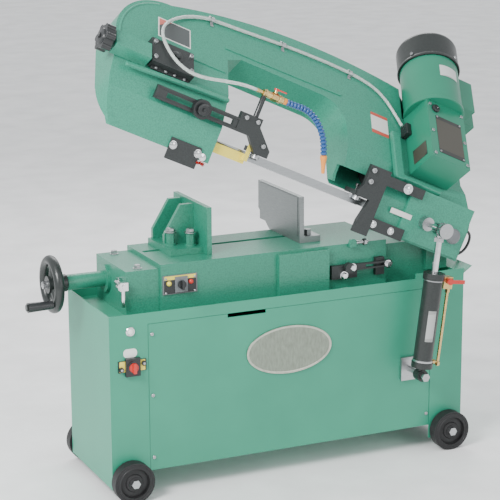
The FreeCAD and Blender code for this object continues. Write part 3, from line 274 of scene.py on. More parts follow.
M = {
    "panel": smooth_paint("panel_enamel", (0.030, 0.275, 0.170), 0.38, 240, 0.14, 0.05),
    "bow": hammered_paint("bow_hammer_enamel", (0.032, 0.262, 0.170)),
    "bed": hammered_paint("bed_hammer_enamel", (0.026, 0.225, 0.142), 300, 0.5),
    "motor": smooth_paint("motor_enamel", (0.016, 0.200, 0.118), 0.34, 500, 0.1, 0.1),
    "dark": cast_paint("black_enamel", (0.018, 0.022, 0.021), 0.34, 300, 0.25),
    "cast": cast_paint("black_cast_iron", (0.020, 0.024, 0.024), 0.46, 380, 0.55),
    "steel": metal("ground_steel", (0.50, 0.51, 0.52), 0.32, (1, 14, 14), 110),
    "jaw": metal("machined_jaw_steel", (0.30, 0.32, 0.32), 0.42, (1, 1, 18), 70, 0.3),
    "chrome": metal("bright_chrome", (0.80, 0.81, 0.82), 0.1, grain=40, strength=0.05),
    "blade": metal("blade_steel", (0.42, 0.44, 0.45), 0.3, (0.4, 22, 22), 90, 0.25),
    "tyre": cast_paint("moulded_rubber", (0.012, 0.012, 0.013), 0.62, 700, 0.35),
    "plastic": cast_paint("moulded_black_plastic", (0.016, 0.018, 0.019), 0.3, 600, 0.18),
    "grey": smooth_paint("grey_plastic", (0.16, 0.17, 0.18), 0.4, 500, 0.15),
    "brass": metal("turned_brass", (0.72, 0.52, 0.22), 0.25, grain=160),
    "red": smooth_paint("red_plastic", (0.55, 0.03, 0.02), 0.28, 500, 0.1, 0.2),
    "yellow": smooth_paint("guard_yellow", (0.80, 0.66, 0.10), 0.4, 260, 0.14),
    "hose": clear_vinyl("clear_vinyl_hose"),
    "blue": smooth_paint("blue_plastic", (0.03, 0.10, 0.28), 0.3, 600, 0.12, 0.1),
    "orange": smooth_paint("orange_plastic", (0.85, 0.30, 0.04), 0.32, 600, 0.12, 0.1),
    "tank": smooth_paint("tank_plastic", (0.55, 0.57, 0.55), 0.45, 300, 0.2),
    "pewter": metal("badge_pewter", (0.30, 0.34, 0.28), 0.42, (3, 1, 1), 60, 0.35),
    "pewter_bright": metal("badge_rim", (0.55, 0.56, 0.48), 0.3, grain=90),
    "white": smooth_paint("white_sticker", (0.78, 0.79, 0.76), 0.4, 400, 0.06),
}

CAD_LOOKS = {
    "panel": ["left_stand", "right_stand", "front_panel", "rear_panel", "chip_tray"],
    "bed": ["bed_casting", "screw_housing", "movable_jaw"],
    "bow": ["bow_casting", "blade_cover"],
    "motor": ["gearbox_housing", "motor_housing", "motor_boxes"],
    "dark": ["fan_cover", "cylinder_barrel", "vise_handwheel"],
    "cast": ["tension_slide", "left_guide_arm", "right_guide_arm", "idler_wheel", "drive_wheel", "stop_link"],
    "steel": ["axle_and_jaw_bolts", "pivot_shaft", "vise_screw", "cylinder_bracket", "feed_stud",
              "left_roller_front", "left_roller_rear", "right_roller_front", "right_roller_rear",
              "motor_rotor"],
    "jaw": ["fixed_jaw"],
    "blade": ["saw_blade"],
    "chrome": ["work_stop", "stop_finger", "cylinder_rod"],
    "tyre": ["transport_wheel_front_left", "transport_wheel_front_right",
             "transport_wheel_rear_left", "transport_wheel_rear_right"],
    "plastic": ["crank_grip", "motor_knob", "tension_knob", "guide_knob", "power_switch"],
    "grey": ["coolant_pump", "control_plate"],
    "brass": ["vise_nut", "cylinder_valve", "worm_wheel", "coolant_valve"],
    "red": ["power_knob", "cylinder_lever", "valve_lever"],
    "yellow": ["blade_guard"],
    "tank": ["coolant_tank"],
    "hose": ["coolant_hose"],
    "blue": ["segmented_hose"],
}
SOFT_EDGES = {"bow_casting": 3.0, "bed_casting": 2.5, "fixed_jaw": 1.0, "movable_jaw": 2.0,
              "gearbox_housing": 4.0,
              "motor_boxes": 8.0, "left_guide_arm": 1.4, "right_guide_arm": 1.4, "tension_slide": 1.6,
              "tension_knob": 1.6, "guide_knob": 1.6, "left_stand": 1.5, "right_stand": 1.5, "chip_tray": 1.2,
              "screw_housing": 1.5, "crank_grip": 2.5, "cylinder_barrel": 1.0, "stop_link": 1.2,
              "vise_handwheel": 1.5, "transport_wheel_front_left": 2.5, "transport_wheel_front_right": 2.5,
              "transport_wheel_rear_left": 2.5, "transport_wheel_rear_right": 2.5, "power_switch": 1.2,
              "control_plate": 1.0, "stop_finger": 1.0, "motor_housing": 1.2, "fan_cover": 1.0}


def soften(obj, width):
    bevel = obj.modifiers.new("soft_edges", "BEVEL")
    bevel.width = width * MM
    bevel.segments = 2
    bevel.limit_method = "ANGLE"
    bevel.angle_limit = math.radians(38)
    bevel.harden_normals = False


def dress_cad():
    for look, names in CAD_LOOKS.items():
        for name in names:
            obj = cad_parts[name]
            for index in range(max(1, len(obj.material_slots))):
                if index < len(obj.material_slots):
                    obj.material_slots[index].material = M[look]
                else:
                    obj.data.materials.append(M[look])
    for name, width in SOFT_EDGES.items():
        soften(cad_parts[name], width)


# ---------------------------------------------------------------- mesh helpers
def place_piece(name, shape, at, body, look, smooth=True, edge=0.0):
    """Turn a bmesh laid out in millimetres in the frame `at` into a piece that rides on a body."""
    mesh = bpy.data.meshes.new(name)
    bmesh.ops.recalc_face_normals(shape, faces=shape.faces)
    shape.to_mesh(mesh)
    shape.free()
    mesh.transform(at)
    mesh.update()
    for polygon in mesh.polygons:
        polygon.use_smooth = smooth
    obj = bpy.data.objects.new(name, mesh)
    bpy.context.scene.collection.objects.link(obj)
    obj.data.materials.append(M[look] if isinstance(look, str) else look)
    if edge:
        soften(obj, edge)
    if smooth:
        split = obj.modifiers.new("crisp", "EDGE_SPLIT")
        split.split_angle = math.radians(40)
    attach(obj, body)
    return obj


def lathe(profile, segments=32):
    """A turned shape about local Z from (radius, height) pairs."""
    shape = bmesh.new()
    loops = []
    for radius, height in profile:
        if radius < 1e-6:
            loops.append([shape.verts.new((0, 0, height))])
            continue
        loops.append([shape.verts.new((radius * math.cos(2 * math.pi * i / segments),
                                       radius * math.sin(2 * math.pi * i / segments), height))
                      for i in range(segments)])
    for low, high in zip(loops, loops[1:]):
        for i in range(segments):
            j = (i + 1) % segments
            if len(low) == 1 and len(high) == 1:
                break
            if len(low) == 1:
                shape.faces.new((low[0], high[j], high[i]))
            elif len(high) == 1:
                shape.faces.new((low[i], low[j], high[0]))
            else:
                shape.faces.new((low[i], low[j], high[j], high[i]))
    return shape


def slab(length, width, height, corner=0.0, segments=5):
    """A plate lying on local Z = 0, centred, with rounded corners."""
    corner = min(corner, length / 2, width / 2)
    points = []
    for sx, sy, start in ((1, 1, 0), (-1, 1, 90), (-1, -1, 180), (1, -1, 270)):
        centre = (sx * (length / 2 - corner), sy * (width / 2 - corner))
        for i in range(segments + 1 if corner > 0 else 1):
            angle = math.radians(start + 90 * i / segments)
            points.append((centre[0] + corner * math.cos(angle), centre[1] + corner * math.sin(angle)))
    return prism(points, height)


def prism(points, height):
    """A closed outline raised along local Z."""
    shape = bmesh.new()
    low = [shape.verts.new((x, y, 0)) for x, y in points]
    high = [shape.verts.new((x, y, height)) for x, y in points]
    shape.faces.new(low)
    shape.faces.new(high)
    for i in range(len(points)):
        j = (i + 1) % len(points)
        shape.faces.new((low[i], low[j], high[j], high[i]))
    return shape


def join(shapes):
    """Several bmeshes, each with its own matrix, as one."""
    whole = bmesh.new()
    for shape, at in shapes:
        part = bpy.data.meshes.new("part")
        shape.to_mesh(part)
        shape.free()
        part.transform(at)
        whole.from_mesh(part)
        bpy.data.meshes.remove(part)
    return whole


def at(x, y, z, turn=Matrix()):
    return Matrix.Translation((x, y, z)) @ turn


def cap_screw(radius=6.0, height=5.0):
    """A socket cap screw with a round recess in its head."""
    return join([
        (lathe([(radius, 0), (radius, height * 0.85), (radius * 0.9, height), (radius * 0.55, height),
                (radius * 0.5, height * 0.45), (0, height * 0.4)], 24), Matrix()),
    ])


def hex_bolt(across=13.0, height=6.0, washer=10.0):
    """A hexagon head with a chamfered top on a washer."""
    corner = across / math.sqrt(3)
    return join([
        (lathe([(0, 0), (washer, 0), (washer, 1.4), (corner * 0.7, 1.4)], 28), Matrix()),
        (lathe([(corner, 1.4), (corner, 1.4 + height * 0.85), (corner * 0.84, 1.4 + height),
                (0, 1.4 + height)], 6),
         Matrix()),
    ])


def button(radius=9.0, height=5.0):
    """A domed bright bolt head with a small ring."""
    return lathe([(radius * 1.15, 0), (radius * 1.15, height * 0.3), (radius, height * 0.35),
                  (radius * 0.9, height * 0.75), (radius * 0.6, height), (0, height * 1.05)], 28)


def fasteners(name, kind, places, frame_matrix, body, look="chrome"):
    """One piece of several equal fasteners, each at a place with a turn, in one frame."""
    return place_piece(name, join([(kind(), place) for place in places]), frame_matrix, body, look)


# ---------------------------------------------------------------- cords
def route_curve(name, points, frame_matrix, radius, body, look):
    """A smooth tube on a NURBS spline with the route's points, in the row frame."""
    curve = bpy.data.curves.new(name, "CURVE")
    curve.dimensions = "3D"
    curve.resolution_u = 10
    curve.bevel_depth = radius * MM
    curve.bevel_resolution = 6
    curve.use_fill_caps = True
    spline = curve.splines.new("NURBS")
    spline.points.add(len(points) - 1)
    for point, place in zip(spline.points, points):
        point.co = (*(frame_matrix @ Vector(place)), 1)
    spline.order_u = 3
    spline.use_endpoint_u = True
    obj = bpy.data.objects.new(name, curve)
    bpy.context.scene.collection.objects.link(obj)
    curve.materials.append(M[look])
    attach(obj, body)
    return obj


def path_points(obj):
    """Points along a route's spline, read from the curve with no bevel."""
    bare = obj.data.copy()
    bare.bevel_depth = 0
    bare.use_fill_caps = False
    temporary = bpy.data.objects.new("temporary_path", bare)
    mesh = bpy.data.meshes.new_from_object(temporary)
    points = [vertex.co.copy() for vertex in mesh.vertices]
    bpy.data.objects.remove(temporary)
    bpy.data.meshes.remove(mesh)
    bpy.data.curves.remove(bare)
    return points


def cords():
    hose_route = [
        (262, 84.83, 130.12), (234, 84.83, 130.12), (184, 77, 125), (134, 71, 114), (97, 73, 108),
        (63, 88, 106),
        (38, 117, 105), (24, 153, 102), (29, 195, 92), (53, 237, 83), (100, 278, 80), (155, 301, 80),
        (195, 307, 79), (262, 313, 79), (330, 320, 79), (400, 327, 79), (466, 331, 79), (534, 333, 79),
        (600, 331, 79), (655, 322, 79), (694, 299, 79), (722, 262, 79), (742, 224.5, 81)]
    hose = route_curve("coolant_hose_tube", hose_route, WHEELS, HOSE_RADIUS, "bow", "hose")
    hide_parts("coolant_hose")

    entry = BOW @ Vector((965, 56, 578))
    before_entry = BOW @ Vector((986, 56, 578))
    cable_route = [CABINET @ Vector(place) for place in
                   ((946, 76, 480), (972, 76, 480), (994, 74, 490), (1005, 68, 512), (1003, 60, 534))]
    cable_route += [before_entry, entry]
    cable = route_curve("cable_loop_lead", cable_route, Matrix(), CABLE_RADIUS, "base", "plastic")
    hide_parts("cable_loop")
    return hose


# ---------------------------------------------------------------- cabinet details
def cabinet_details():
    front = CABINET @ at(0, 0, 0, FRONT)      # local x right, y up, z towards the front

    def oval(half_x, half_y, count=72):
        return [(half_x * math.cos(2 * math.pi * i / count), half_y * math.sin(2 * math.pi * i / count))
                for i in range(count)]

    def dish(rings):
        """An oval plate from (half length, half width, height) rings, closed at the middle."""
        shape = bmesh.new()
        loops = [[shape.verts.new((x, y, height)) for x, y in oval(half_x, half_y)]
                 for half_x, half_y, height in rings]
        for low, high in zip(loops, loops[1:]):
            for i in range(len(low)):
                j = (i + 1) % len(low)
                shape.faces.new((low[i], low[j], high[j], high[i]))
        shape.faces.new(loops[-1])
        return shape

    badge_at = at(462, 317, 0)
    place_piece("badge_plate", dish([(114, 60, -1), (114, 60, 1.2), (111, 57.5, 2.4), (104, 51, 1.4),
                                     (100, 48, 1.4), (60, 29, 2.2), (20, 10, 2.6)]),
                front @ badge_at, "base", "pewter")
    rim = [(114.5, 60.5, 0.6), (113.8, 59.8, 2.6), (110.8, 57, 3.2), (108, 54.5, 2.2)]
    shape = bmesh.new()
    loops = [[shape.verts.new((x, y, height)) for x, y in oval(a, b)] for a, b, height in rim]
    for low, high in zip(loops, loops[1:]):
        for i in range(len(low)):
            j = (i + 1) % len(low)
            shape.faces.new((low[i], low[j], high[j], high[i]))
    place_piece("badge_rim", shape, front @ badge_at, "base", "pewter_bright")

    # pilot lamp, blank sticker and the yellow plate behind the power knob
    place_piece("pilot_bezel", lathe([(11.5, 0), (11.5, 2.5), (10, 4), (7.5, 4), (7.2, 2.5), (0, 2.5)]),
                front @ at(52, 413, 0), "base", "chrome")
    place_piece("pilot_lens", lathe([(7.2, 2), (7.2, 5), (5.8, 7.2), (3, 8.4), (0, 8.8)]),
                front @ at(52, 413, 0), "base", "white")
    place_piece("small_sticker", slab(34, 21, 0.6, 9), front @ at(51, 361, 0.1), "base", "white",
                smooth=False)
    place_piece("power_plate", slab(64, 26, 0.8, 2), front @ at(55, 330, 2.05), "base", "yellow",
                smooth=False)
    fasteners("power_plate_screws", lambda: cap_screw(3.2, 2.6),
              [at(55 - 28, 324, 7), at(55 + 28, 334, 7)], front, "base", "steel")
    place_piece("power_dial", lathe([(15, 0), (15, 1.5), (13, 2.4), (0, 2.4)]), front @ at(55, 328, 9),
                "base", "plastic")

    # folded seams: screws that hold the two cabinet panels
    fasteners("panel_screws", lambda: cap_screw(4.4, 3.0),
              [at(106, y, -1) for y in (96, 250, 400)] + [at(848, y, -1) for y in (96, 250, 400)],
              front, "base", "steel")
    rear = CABINET @ at(0, 290, 0, Matrix.Rotation(math.radians(-90), 4, "X"))
    fasteners("rear_panel_screws", lambda: cap_screw(4.4, 3.0),
              [at(x, y, -0.2) for x in (120, 475, 832) for y in (-84, -400)], rear, "base", "steel")
    louvres = []
    slat_shape = Matrix.Diagonal((20, 1, 1, 1)) @ Matrix.Rotation(0.785, 4, "Z")
    for row in range(6):
        louvres.append((lathe([(0.5, 0), (3.4, 1.5), (3.4, 2.6), (0.2, 6)], 4),
                        at(640, -180 - 18 * row, -1) @ slat_shape))
    place_piece("rear_louvres", join(louvres), rear, "base", "panel")

    # transport wheels: hub caps and raised rings
    for tag, across, depth, way in (("front_left", 45, -32.3, 1), ("front_right", 906, -32.3, 1),
                                    ("rear_left", 45, 322.3, -1), ("rear_right", 906, 322.3, -1)):
        turn = FRONT if way == 1 else Matrix.Rotation(math.radians(-90), 4, "X")
        ring = lathe([(47, -1.5), (46, 1.2), (44, 1.2), (43, -0.4), (40, -0.4), (38.5, 1.0), (36.4, 1.0),
                      (36.2, -5)])
        place_piece("wheel_ring_" + tag, ring, CABINET @ at(across, depth, 50, turn), "caster_" + tag, "tyre")
        place_piece("wheel_disc_" + tag,
                    lathe([(35.8, -7.2), (30, -5.6), (22, -6.4), (20, -3.2), (15.2, -2.6), (12, 0.4),
                           (9.8, 0.4)]),
                    CABINET @ at(across, depth, 50, turn), "caster_" + tag, "tyre")


# ---------------------------------------------------------------- bed and vise details
def bed_details():
    front = CABINET @ at(0, 0, 0, FRONT)
    # control station: blank yellow tag, lamp and knob skirt on the grey plate
    place_piece("control_tag", slab(80, 9, 0.8, 1.5), front @ at(203, 513, -58.8), "base", "yellow",
                smooth=False)
    place_piece("control_field", slab(82, 32, 0.8, 2), front @ at(203, 491, -58.95), "base", "plastic",
                smooth=False)
    place_piece("control_lamp", lathe([(6, 0), (6, 3), (4.8, 5.5), (2, 7), (0, 7.3)]),
                front @ at(230, 500, -58.2), "base", "red")
    place_piece("control_lamp_two", lathe([(6, 0), (6, 3), (4.8, 5.5), (2, 7), (0, 7.3)]),
                front @ at(174, 500, -58.2), "base", "yellow")
    fasteners("control_screws", lambda: cap_screw(2.6, 1.8),
              [at(166, 512, -58.2), at(240, 512, -58.2), at(166, 477, -58.2), at(240, 477, -58.2)],
              front, "base", "steel")
    # the stop arm's bolts and the adjusting lug above it
    fasteners("stop_arm_bolts", lambda: hex_bolt(14, 7, 11),
              [at(655, 490, -41.9), at(756, 490, -41.9), at(636, 470, -49.9)], front, "base", "chrome")
    lug = prism([(0, 0), (20, 0), (20, 14), (15, 21), (5, 21), (0, 12)], 12)
    place_piece("adjusting_lug", lug, front @ at(652, 538, -62), "base", "bed", smooth=False,
                edge=2.0)
    place_piece("adjusting_screw", join([
        (lathe([(4.5, 0), (4.5, 32), (0, 32)], 20), Matrix()),
        (lathe([(9, 20), (9, 27), (7.5, 28), (0, 28)], 6), Matrix())]),
        CABINET @ at(672, 56, 549, Matrix.Rotation(math.radians(90), 4, "Y")), "base", "steel")
    # jaws
    place_piece("fixed_jaw_wear_plate", slab(220, 96, 1.4, 1.5),
                CABINET @ at(544.9, 234, 613, Matrix.Rotation(math.radians(-90), 4, "Y")
                             @ Matrix.Rotation(math.radians(90), 4, "Z")),
                "fixed_jaw_body", "jaw", smooth=False)
    fasteners("movable_jaw_bolts", lambda: hex_bolt(18, 9, 15),
              [at(228, 180, 595), at(270, 155, 595)], CABINET, "jaw_body", "steel")
    fasteners("bed_corner_bolts", lambda: hex_bolt(14, 8, 11),
              [at(108, 92, 537), at(108, 250, 537), at(820, 110, 532), at(820, 262, 532)],
              CABINET, "base", "steel")
    # a black strip in the bed's slot: painted shade standing in for the dark inside of the slot
    slot_shade_strip = slab(392, 13, 0.7, 6)
    place_piece("slot_painted_shade", slot_shade_strip, CABINET @ at(365, 203, 517.5), "base", "plastic",
                smooth=False)
    # crank wheel: polished hub end
    place_piece("handwheel_nut", join([
        (lathe([(9.5, 0), (9.5, 3), (8, 3.2)], 28), Matrix()),
        (lathe([(9.8, 2.8), (9.8, 9.5), (8.4, 10.4), (0, 10.4)], 6), Matrix())]),
        CABINET @ at(-81.9, 203, 492, Matrix.Rotation(math.radians(-90), 4, "Y")), "screw_body", "steel")


# ---------------------------------------------------------------- bow details
def bow_details(hose):
    face = WHEELS @ at(0, 0, CASTING_FACE)
    skirt = BOW @ at(0, 0, 0, FRONT)

    # pinch clips on the coolant hose, square to its line
    points = path_points(hose)
    inverse = WHEELS.inverted()
    off_the_back = 99       # keeps a clip away from the loop below the bow's back edge

    def miss(i, wanted):
        local = inverse @ points[i]
        return abs(local.x - wanted) + (off_the_back if local.y < 290 else 0)

    for index, wanted in enumerate((176, 385, 590)):
        near = min(range(5, len(points) - 5), key=lambda i: miss(i, wanted))
        spot = inverse @ points[near]
        ahead = inverse @ points[near + 2] - inverse @ points[near - 2]
        turn = Matrix.Rotation(math.atan2(ahead.y, ahead.x), 4, "Z")
        arch = []
        for i in range(13):
            angle = math.pi * i / 12
            arch.append((5.6 * math.cos(angle), 5.6 * math.sin(angle)))
        outer = [(-16, -5.8), (-16, -4.6), (-6.8, -4.6)] + [(1.2 * x, 1.2 * y) for x, y in reversed(arch)]
        inner = [(x, y) for x, y in arch] + [(-5.6, -5.8)]
        clip = prism(outer + [(6.8, -5.8), (5.6, -5.8)] + inner, 9)
        place_piece("hose_clip_%d" % index, clip,
                    WHEELS @ at(spot.x, spot.y, spot.z, turn @ Matrix.Rotation(math.radians(90), 4, "X")
                                @ Matrix.Rotation(math.radians(90), 4, "Y") @ at(0, 0, -4.5)),
                    "bow", "steel", smooth=False)
        fasteners("hose_clip_screw_%d" % index, lambda: button(4.2, 3),
                  [at(spot.x, spot.y, 0.4, turn) @ at(0, 11.5, 0)], face, "bow", "chrome")

    # blank plates where the machine carries its printed ones
    warn = banded_label("red_banded_plate", (0.74, 0.73, 0.70), (0.55, 0.08, 0.05), 0.16, 0.84, "Y")
    dark_plate = banded_label("dark_banded_plate", (0.07, 0.08, 0.08), (0.62, 0.16, 0.12), 0.0, 0.80, "Z")
    tiny = banded_label("thin_banded_plate", (0.76, 0.76, 0.73), (0.62, 0.2, 0.18), 0.02, 0.98, "Z")
    bronze = banded_label("bronze_banded_plate", (0.055, 0.050, 0.038), (0.022, 0.024, 0.022), 0.1, 0.9, "Y")
    silver = banded_label("silver_banded_plate", (0.62, 0.64, 0.62), (0.42, 0.45, 0.43), 0.1, 0.9, "Y")
    place_piece("upper_left_backing", slab(89, 60, 0.5, 1), face @ at(73.5, 215.5, 0), "bow", "white",
                smooth=False)
    place_piece("upper_left_plate", slab(83, 54, 0.4, 1), face @ at(73.5, 215.5, 0.5), "bow", dark_plate,
                smooth=False)
    place_piece("arm_plate", slab(52, 66, 0.7, 1), face @ at(676, 204, 0), "bow", warn,
                smooth=False)
    place_piece("skirt_plate", slab(64, 13, 0.6, 1),
                BOW @ at(757, 11.6, 555, FRONT), "bow", tiny, smooth=False)
    box_front = WHEELS @ at(0, 0, GEARBOX_FACE)
    place_piece("gearbox_plate", slab(80, 118, 0.8, 2), box_front @ at(820, 156, 0), "bow", bronze,
                smooth=False)
    fasteners("gearbox_plate_screws", lambda: cap_screw(2.8, 2),
              [at(x, y, 0.5) for x in (784, 856) for y in (101, 211)], box_front, "bow", "steel")
    fasteners("gearbox_cover_screws", lambda: cap_screw(4.5, 3.5),
              [at(x, y, -0.2) for x in (766, 866) for y in (88, 160, 246)], box_front, "bow", "steel")
    place_piece("filler_plug", lathe([(11, 0), (11, 5), (9.5, 6.5), (6, 6.5), (5, 4.5), (0, 4.5)], 20),
                box_front @ at(782, 236, 0), "bow", "plastic")
    side = WHEELS @ at(757, 0, 0, Matrix.Rotation(math.radians(-90), 4, "Y"))
    place_piece("gearbox_side_plate", slab(52, 42, 0.8, 1), side @ at(122, 116, 0), "bow", bronze,
                smooth=False)

    # motor: nameplate bent round the shell, a lip, cover band and screws
    motor = WHEELS @ at(818, 0, 120, Matrix.Rotation(math.radians(-90), 4, "X"))
    plate = bmesh.new()
    columns = []
    for i in range(15):
        angle = math.radians(50 + 42 * i / 14)
        column = []
        for height in (-372, -336):
            column.append([plate.verts.new((r * math.cos(angle), r * math.sin(angle), -height))
                           for r in (75.0, 75.8)])
        columns.append(column)
    for a, b in zip(columns, columns[1:]):
        plate.faces.new((a[0][1], b[0][1], b[1][1], a[1][1]))
        if a is columns[0]:
            plate.faces.new((a[0][0], a[0][1], a[1][1], a[1][0]))
    place_piece("motor_plate", plate, motor @ Matrix.Rotation(math.radians(-160), 4, "Z"), "bow", silver)
    place_piece("motor_lip", lathe([(75.2, 259), (77.5, 260), (77.5, 268), (75.4, 270)], 64), motor, "bow",
                "motor")
    place_piece("fan_cover_lip", lathe([(79.2, 405), (81, 406), (81, 411), (79.4, 413)], 64), motor, "bow",
                "dark")
    fasteners("fan_cover_screws", lambda: cap_screw(4, 3.5),
              [Matrix.Rotation(math.radians(a), 4, "Z") @ at(79.4, 0, 418,
                                                             Matrix.Rotation(math.radians(90), 4, "Y"))
               for a in (-160, -70, 20, 110)], motor, "bow", "steel")

    # left skirt: brush plate, its bolts, washer and red brush
    place_piece("brush_plate", slab(82, 52, 4, 2), skirt @ at(152, 497, -20), "bow", "cast",
                smooth=False, edge=1.0)
    fasteners("brush_plate_bolts", lambda: button(8.5, 5), [at(120, 506, -16), at(186, 508, -16)], skirt,
              "bow")
    place_piece("brush_washer", lathe([(9, 0), (9, 2), (4, 2.6), (0, 4)], 28), skirt @ at(202, 504, -19.8),
                "bow", "chrome")
    bristles = []
    for index in range(90):
        angle = random.uniform(0, 2 * math.pi)
        lean = random.uniform(0.0, 0.55)
        reach = random.uniform(9, 13)
        bristles.append((lathe([(0.55, 0), (0.4, reach)], 5),
                         at(200 + random.uniform(-10, 10), 489 + random.uniform(-2.5, 2.5), -22)
                         @ Matrix.Rotation(angle, 4, "Z") @ Matrix.Rotation(lean, 4, "X")))
    place_piece("brush_bristles", join(bristles), skirt, "bow", "red")

    # casting ribs: a moulded bead round the left housing and one along the arm
    bead = bmesh.new()
    rows = []
    arc = [(66 + 139 * math.cos(a), 150 + 139 * math.sin(a)) for a in
           [math.radians(200 - 96 * i / 30) for i in range(31)]]
    for x, y in arc:
        out = Vector((x - 66, y - 150)).normalized()
        rows.append([bead.verts.new((x + out.x * w, y + out.y * w, h))
                     for w, h in ((-3.2, 0), (-2, 1.5), (0, 2.2), (2, 1.5), (3.2, 0))])
    for a, b in zip(rows, rows[1:]):
        for i in range(4):
            bead.faces.new((a[i], a[i + 1], b[i + 1], b[i]))
    place_piece("housing_bead", bead, face, "bow", "bow")
    place_piece("arm_rib", slab(345, 9, 3.0, 4),
                face @ at(388, 244, -0.2, Matrix.Rotation(math.radians(1.5), 4, "Z")),
                "bow", "bow", smooth=False, edge=1.2)
    place_piece("idler_rib", slab(150, 7, 2.6, 3), face @ at(140, 159, -0.2), "bow", "bow",
                smooth=False, edge=1.2)
    place_piece("housing_ledge", slab(278, 10, 9, 3),
                face @ at(80, 61.5, -0.2, Matrix.Rotation(math.radians(3), 4, "Z")), "bow", "bow",
                smooth=False, edge=2.0)
    place_piece("gearbox_rib", slab(26, 148, 14, 3), face @ at(717, 116, -0.2), "bow", "bow",
                smooth=False, edge=3.0)
    place_piece("gearbox_ledge", slab(126, 12, 14, 3), face @ at(783, 52, -0.2), "bow", "bow",
                smooth=False, edge=2.5)
    place_piece("hose_grommet", slab(14.4, 34, 27, 2), face @ at(749.4, 207, -0.2), "bow", "plastic",
                smooth=False, edge=1.5)

    # rear cover: hinge bolts and a stiffening swage
    rear = WHEELS @ at(0, 0, -19, Matrix.Rotation(math.radians(180), 4, "X"))
    fasteners("cover_knobs", lambda: lathe([(5, 0), (5, 6), (13, 8), (14, 13), (11, 17), (0, 18)], 20),
              [at(-60, -150, 0), at(120, -290, 0), at(420, -330, 0), at(700, -310, 0), at(870, -240, 0)],
              rear, "bow", "plastic")
    place_piece("cover_swage_left", lathe([(104, 0), (100, 2.2), (94, 2.2), (90, 0)], 64),
                rear @ at(66, -127, 0), "bow", "bow")
    place_piece("cover_swage_right", lathe([(84, 0), (80, 2.2), (74, 2.2), (70, 0)], 64),
                rear @ at(785, -150, 0), "bow", "bow")

    # right guide: bar and bracket screws, pivot cap
    fasteners("right_guide_sockets", lambda: cap_screw(6.5, 6), [at(632, 628, 0), at(634, 600, 0)], skirt,
              "bow", "steel")
    fasteners("right_plate_bolts", lambda: button(8, 4.5), [at(690, 506, -6), at(744, 506, -6)], skirt, "bow")
    fasteners("right_bar_bolt", lambda: hex_bolt(15, 6, 13), [at(742, 617.5, 0)], skirt, "bow")
    place_piece("pivot_cap", lathe([(20, 0), (20, 4), (16, 9), (8, 11.5), (0, 12)]), skirt @ at(916, 551, -2),
                "base", "grey")
    fasteners("tension_block_bolts", lambda: cap_screw(5.5, 5),
              [at(8, 92, 22.3), at(8, 138, 22.3), at(104, 92, 22.3), at(104, 138, 22.3)], face, "slide_body",
              "steel")
    place_piece("tension_gib", slab(100, 9, 7, 2), face @ at(56, 73.4, 0.4), "bow", "cast",
                smooth=False, edge=1.0)
    fasteners("tension_gib_screws", lambda: cap_screw(3.6, 3), [at(x, 73.4, 7.3) for x in (18, 44, 68, 94)],
              face, "bow", "steel")
    place_piece("idler_shaft_cap", join([
        (lathe([(15, 0), (15, 2.5), (12, 3.5), (0, 3.5)]), Matrix()),
        (lathe([(9, 3), (9, 9), (7.6, 10), (0, 10)], 6), Matrix())]),
        face @ at(66, 118, 22.3), "slide_body", "cast")


# ---------------------------------------------------------------- blade teeth
def blade_teeth():
    """Raker teeth along the upright lower run, on the edge that faces the table."""
    shape = bmesh.new()
    half = 9.5
    pitch = 4.2
    count = int((648 - 302) / pitch)
    for index in range(count):
        x = 302 + index * pitch
        lean = (0.0, 0.35, -0.35)[index % 3]
        low = 544.68 - half
        points = [(x, low + 0.2), (x + pitch, low + 0.2), (x + 0.5, low - 1.9)]
        front = [shape.verts.new((px, 39.68 - 0.42 + (lean if pz < low else 0), pz)) for px, pz in points]
        back = [shape.verts.new((px, 39.68 + 0.42 + (lean if pz < low else 0), pz)) for px, pz in points]
        shape.faces.new(front)
        shape.faces.new(back)
        for i in range(3):
            j = (i + 1) % 3
            shape.faces.new((front[i], front[j], back[j], back[i]))
    place_piece("blade_teeth", shape, BOW, "bow", "blade", smooth=False)


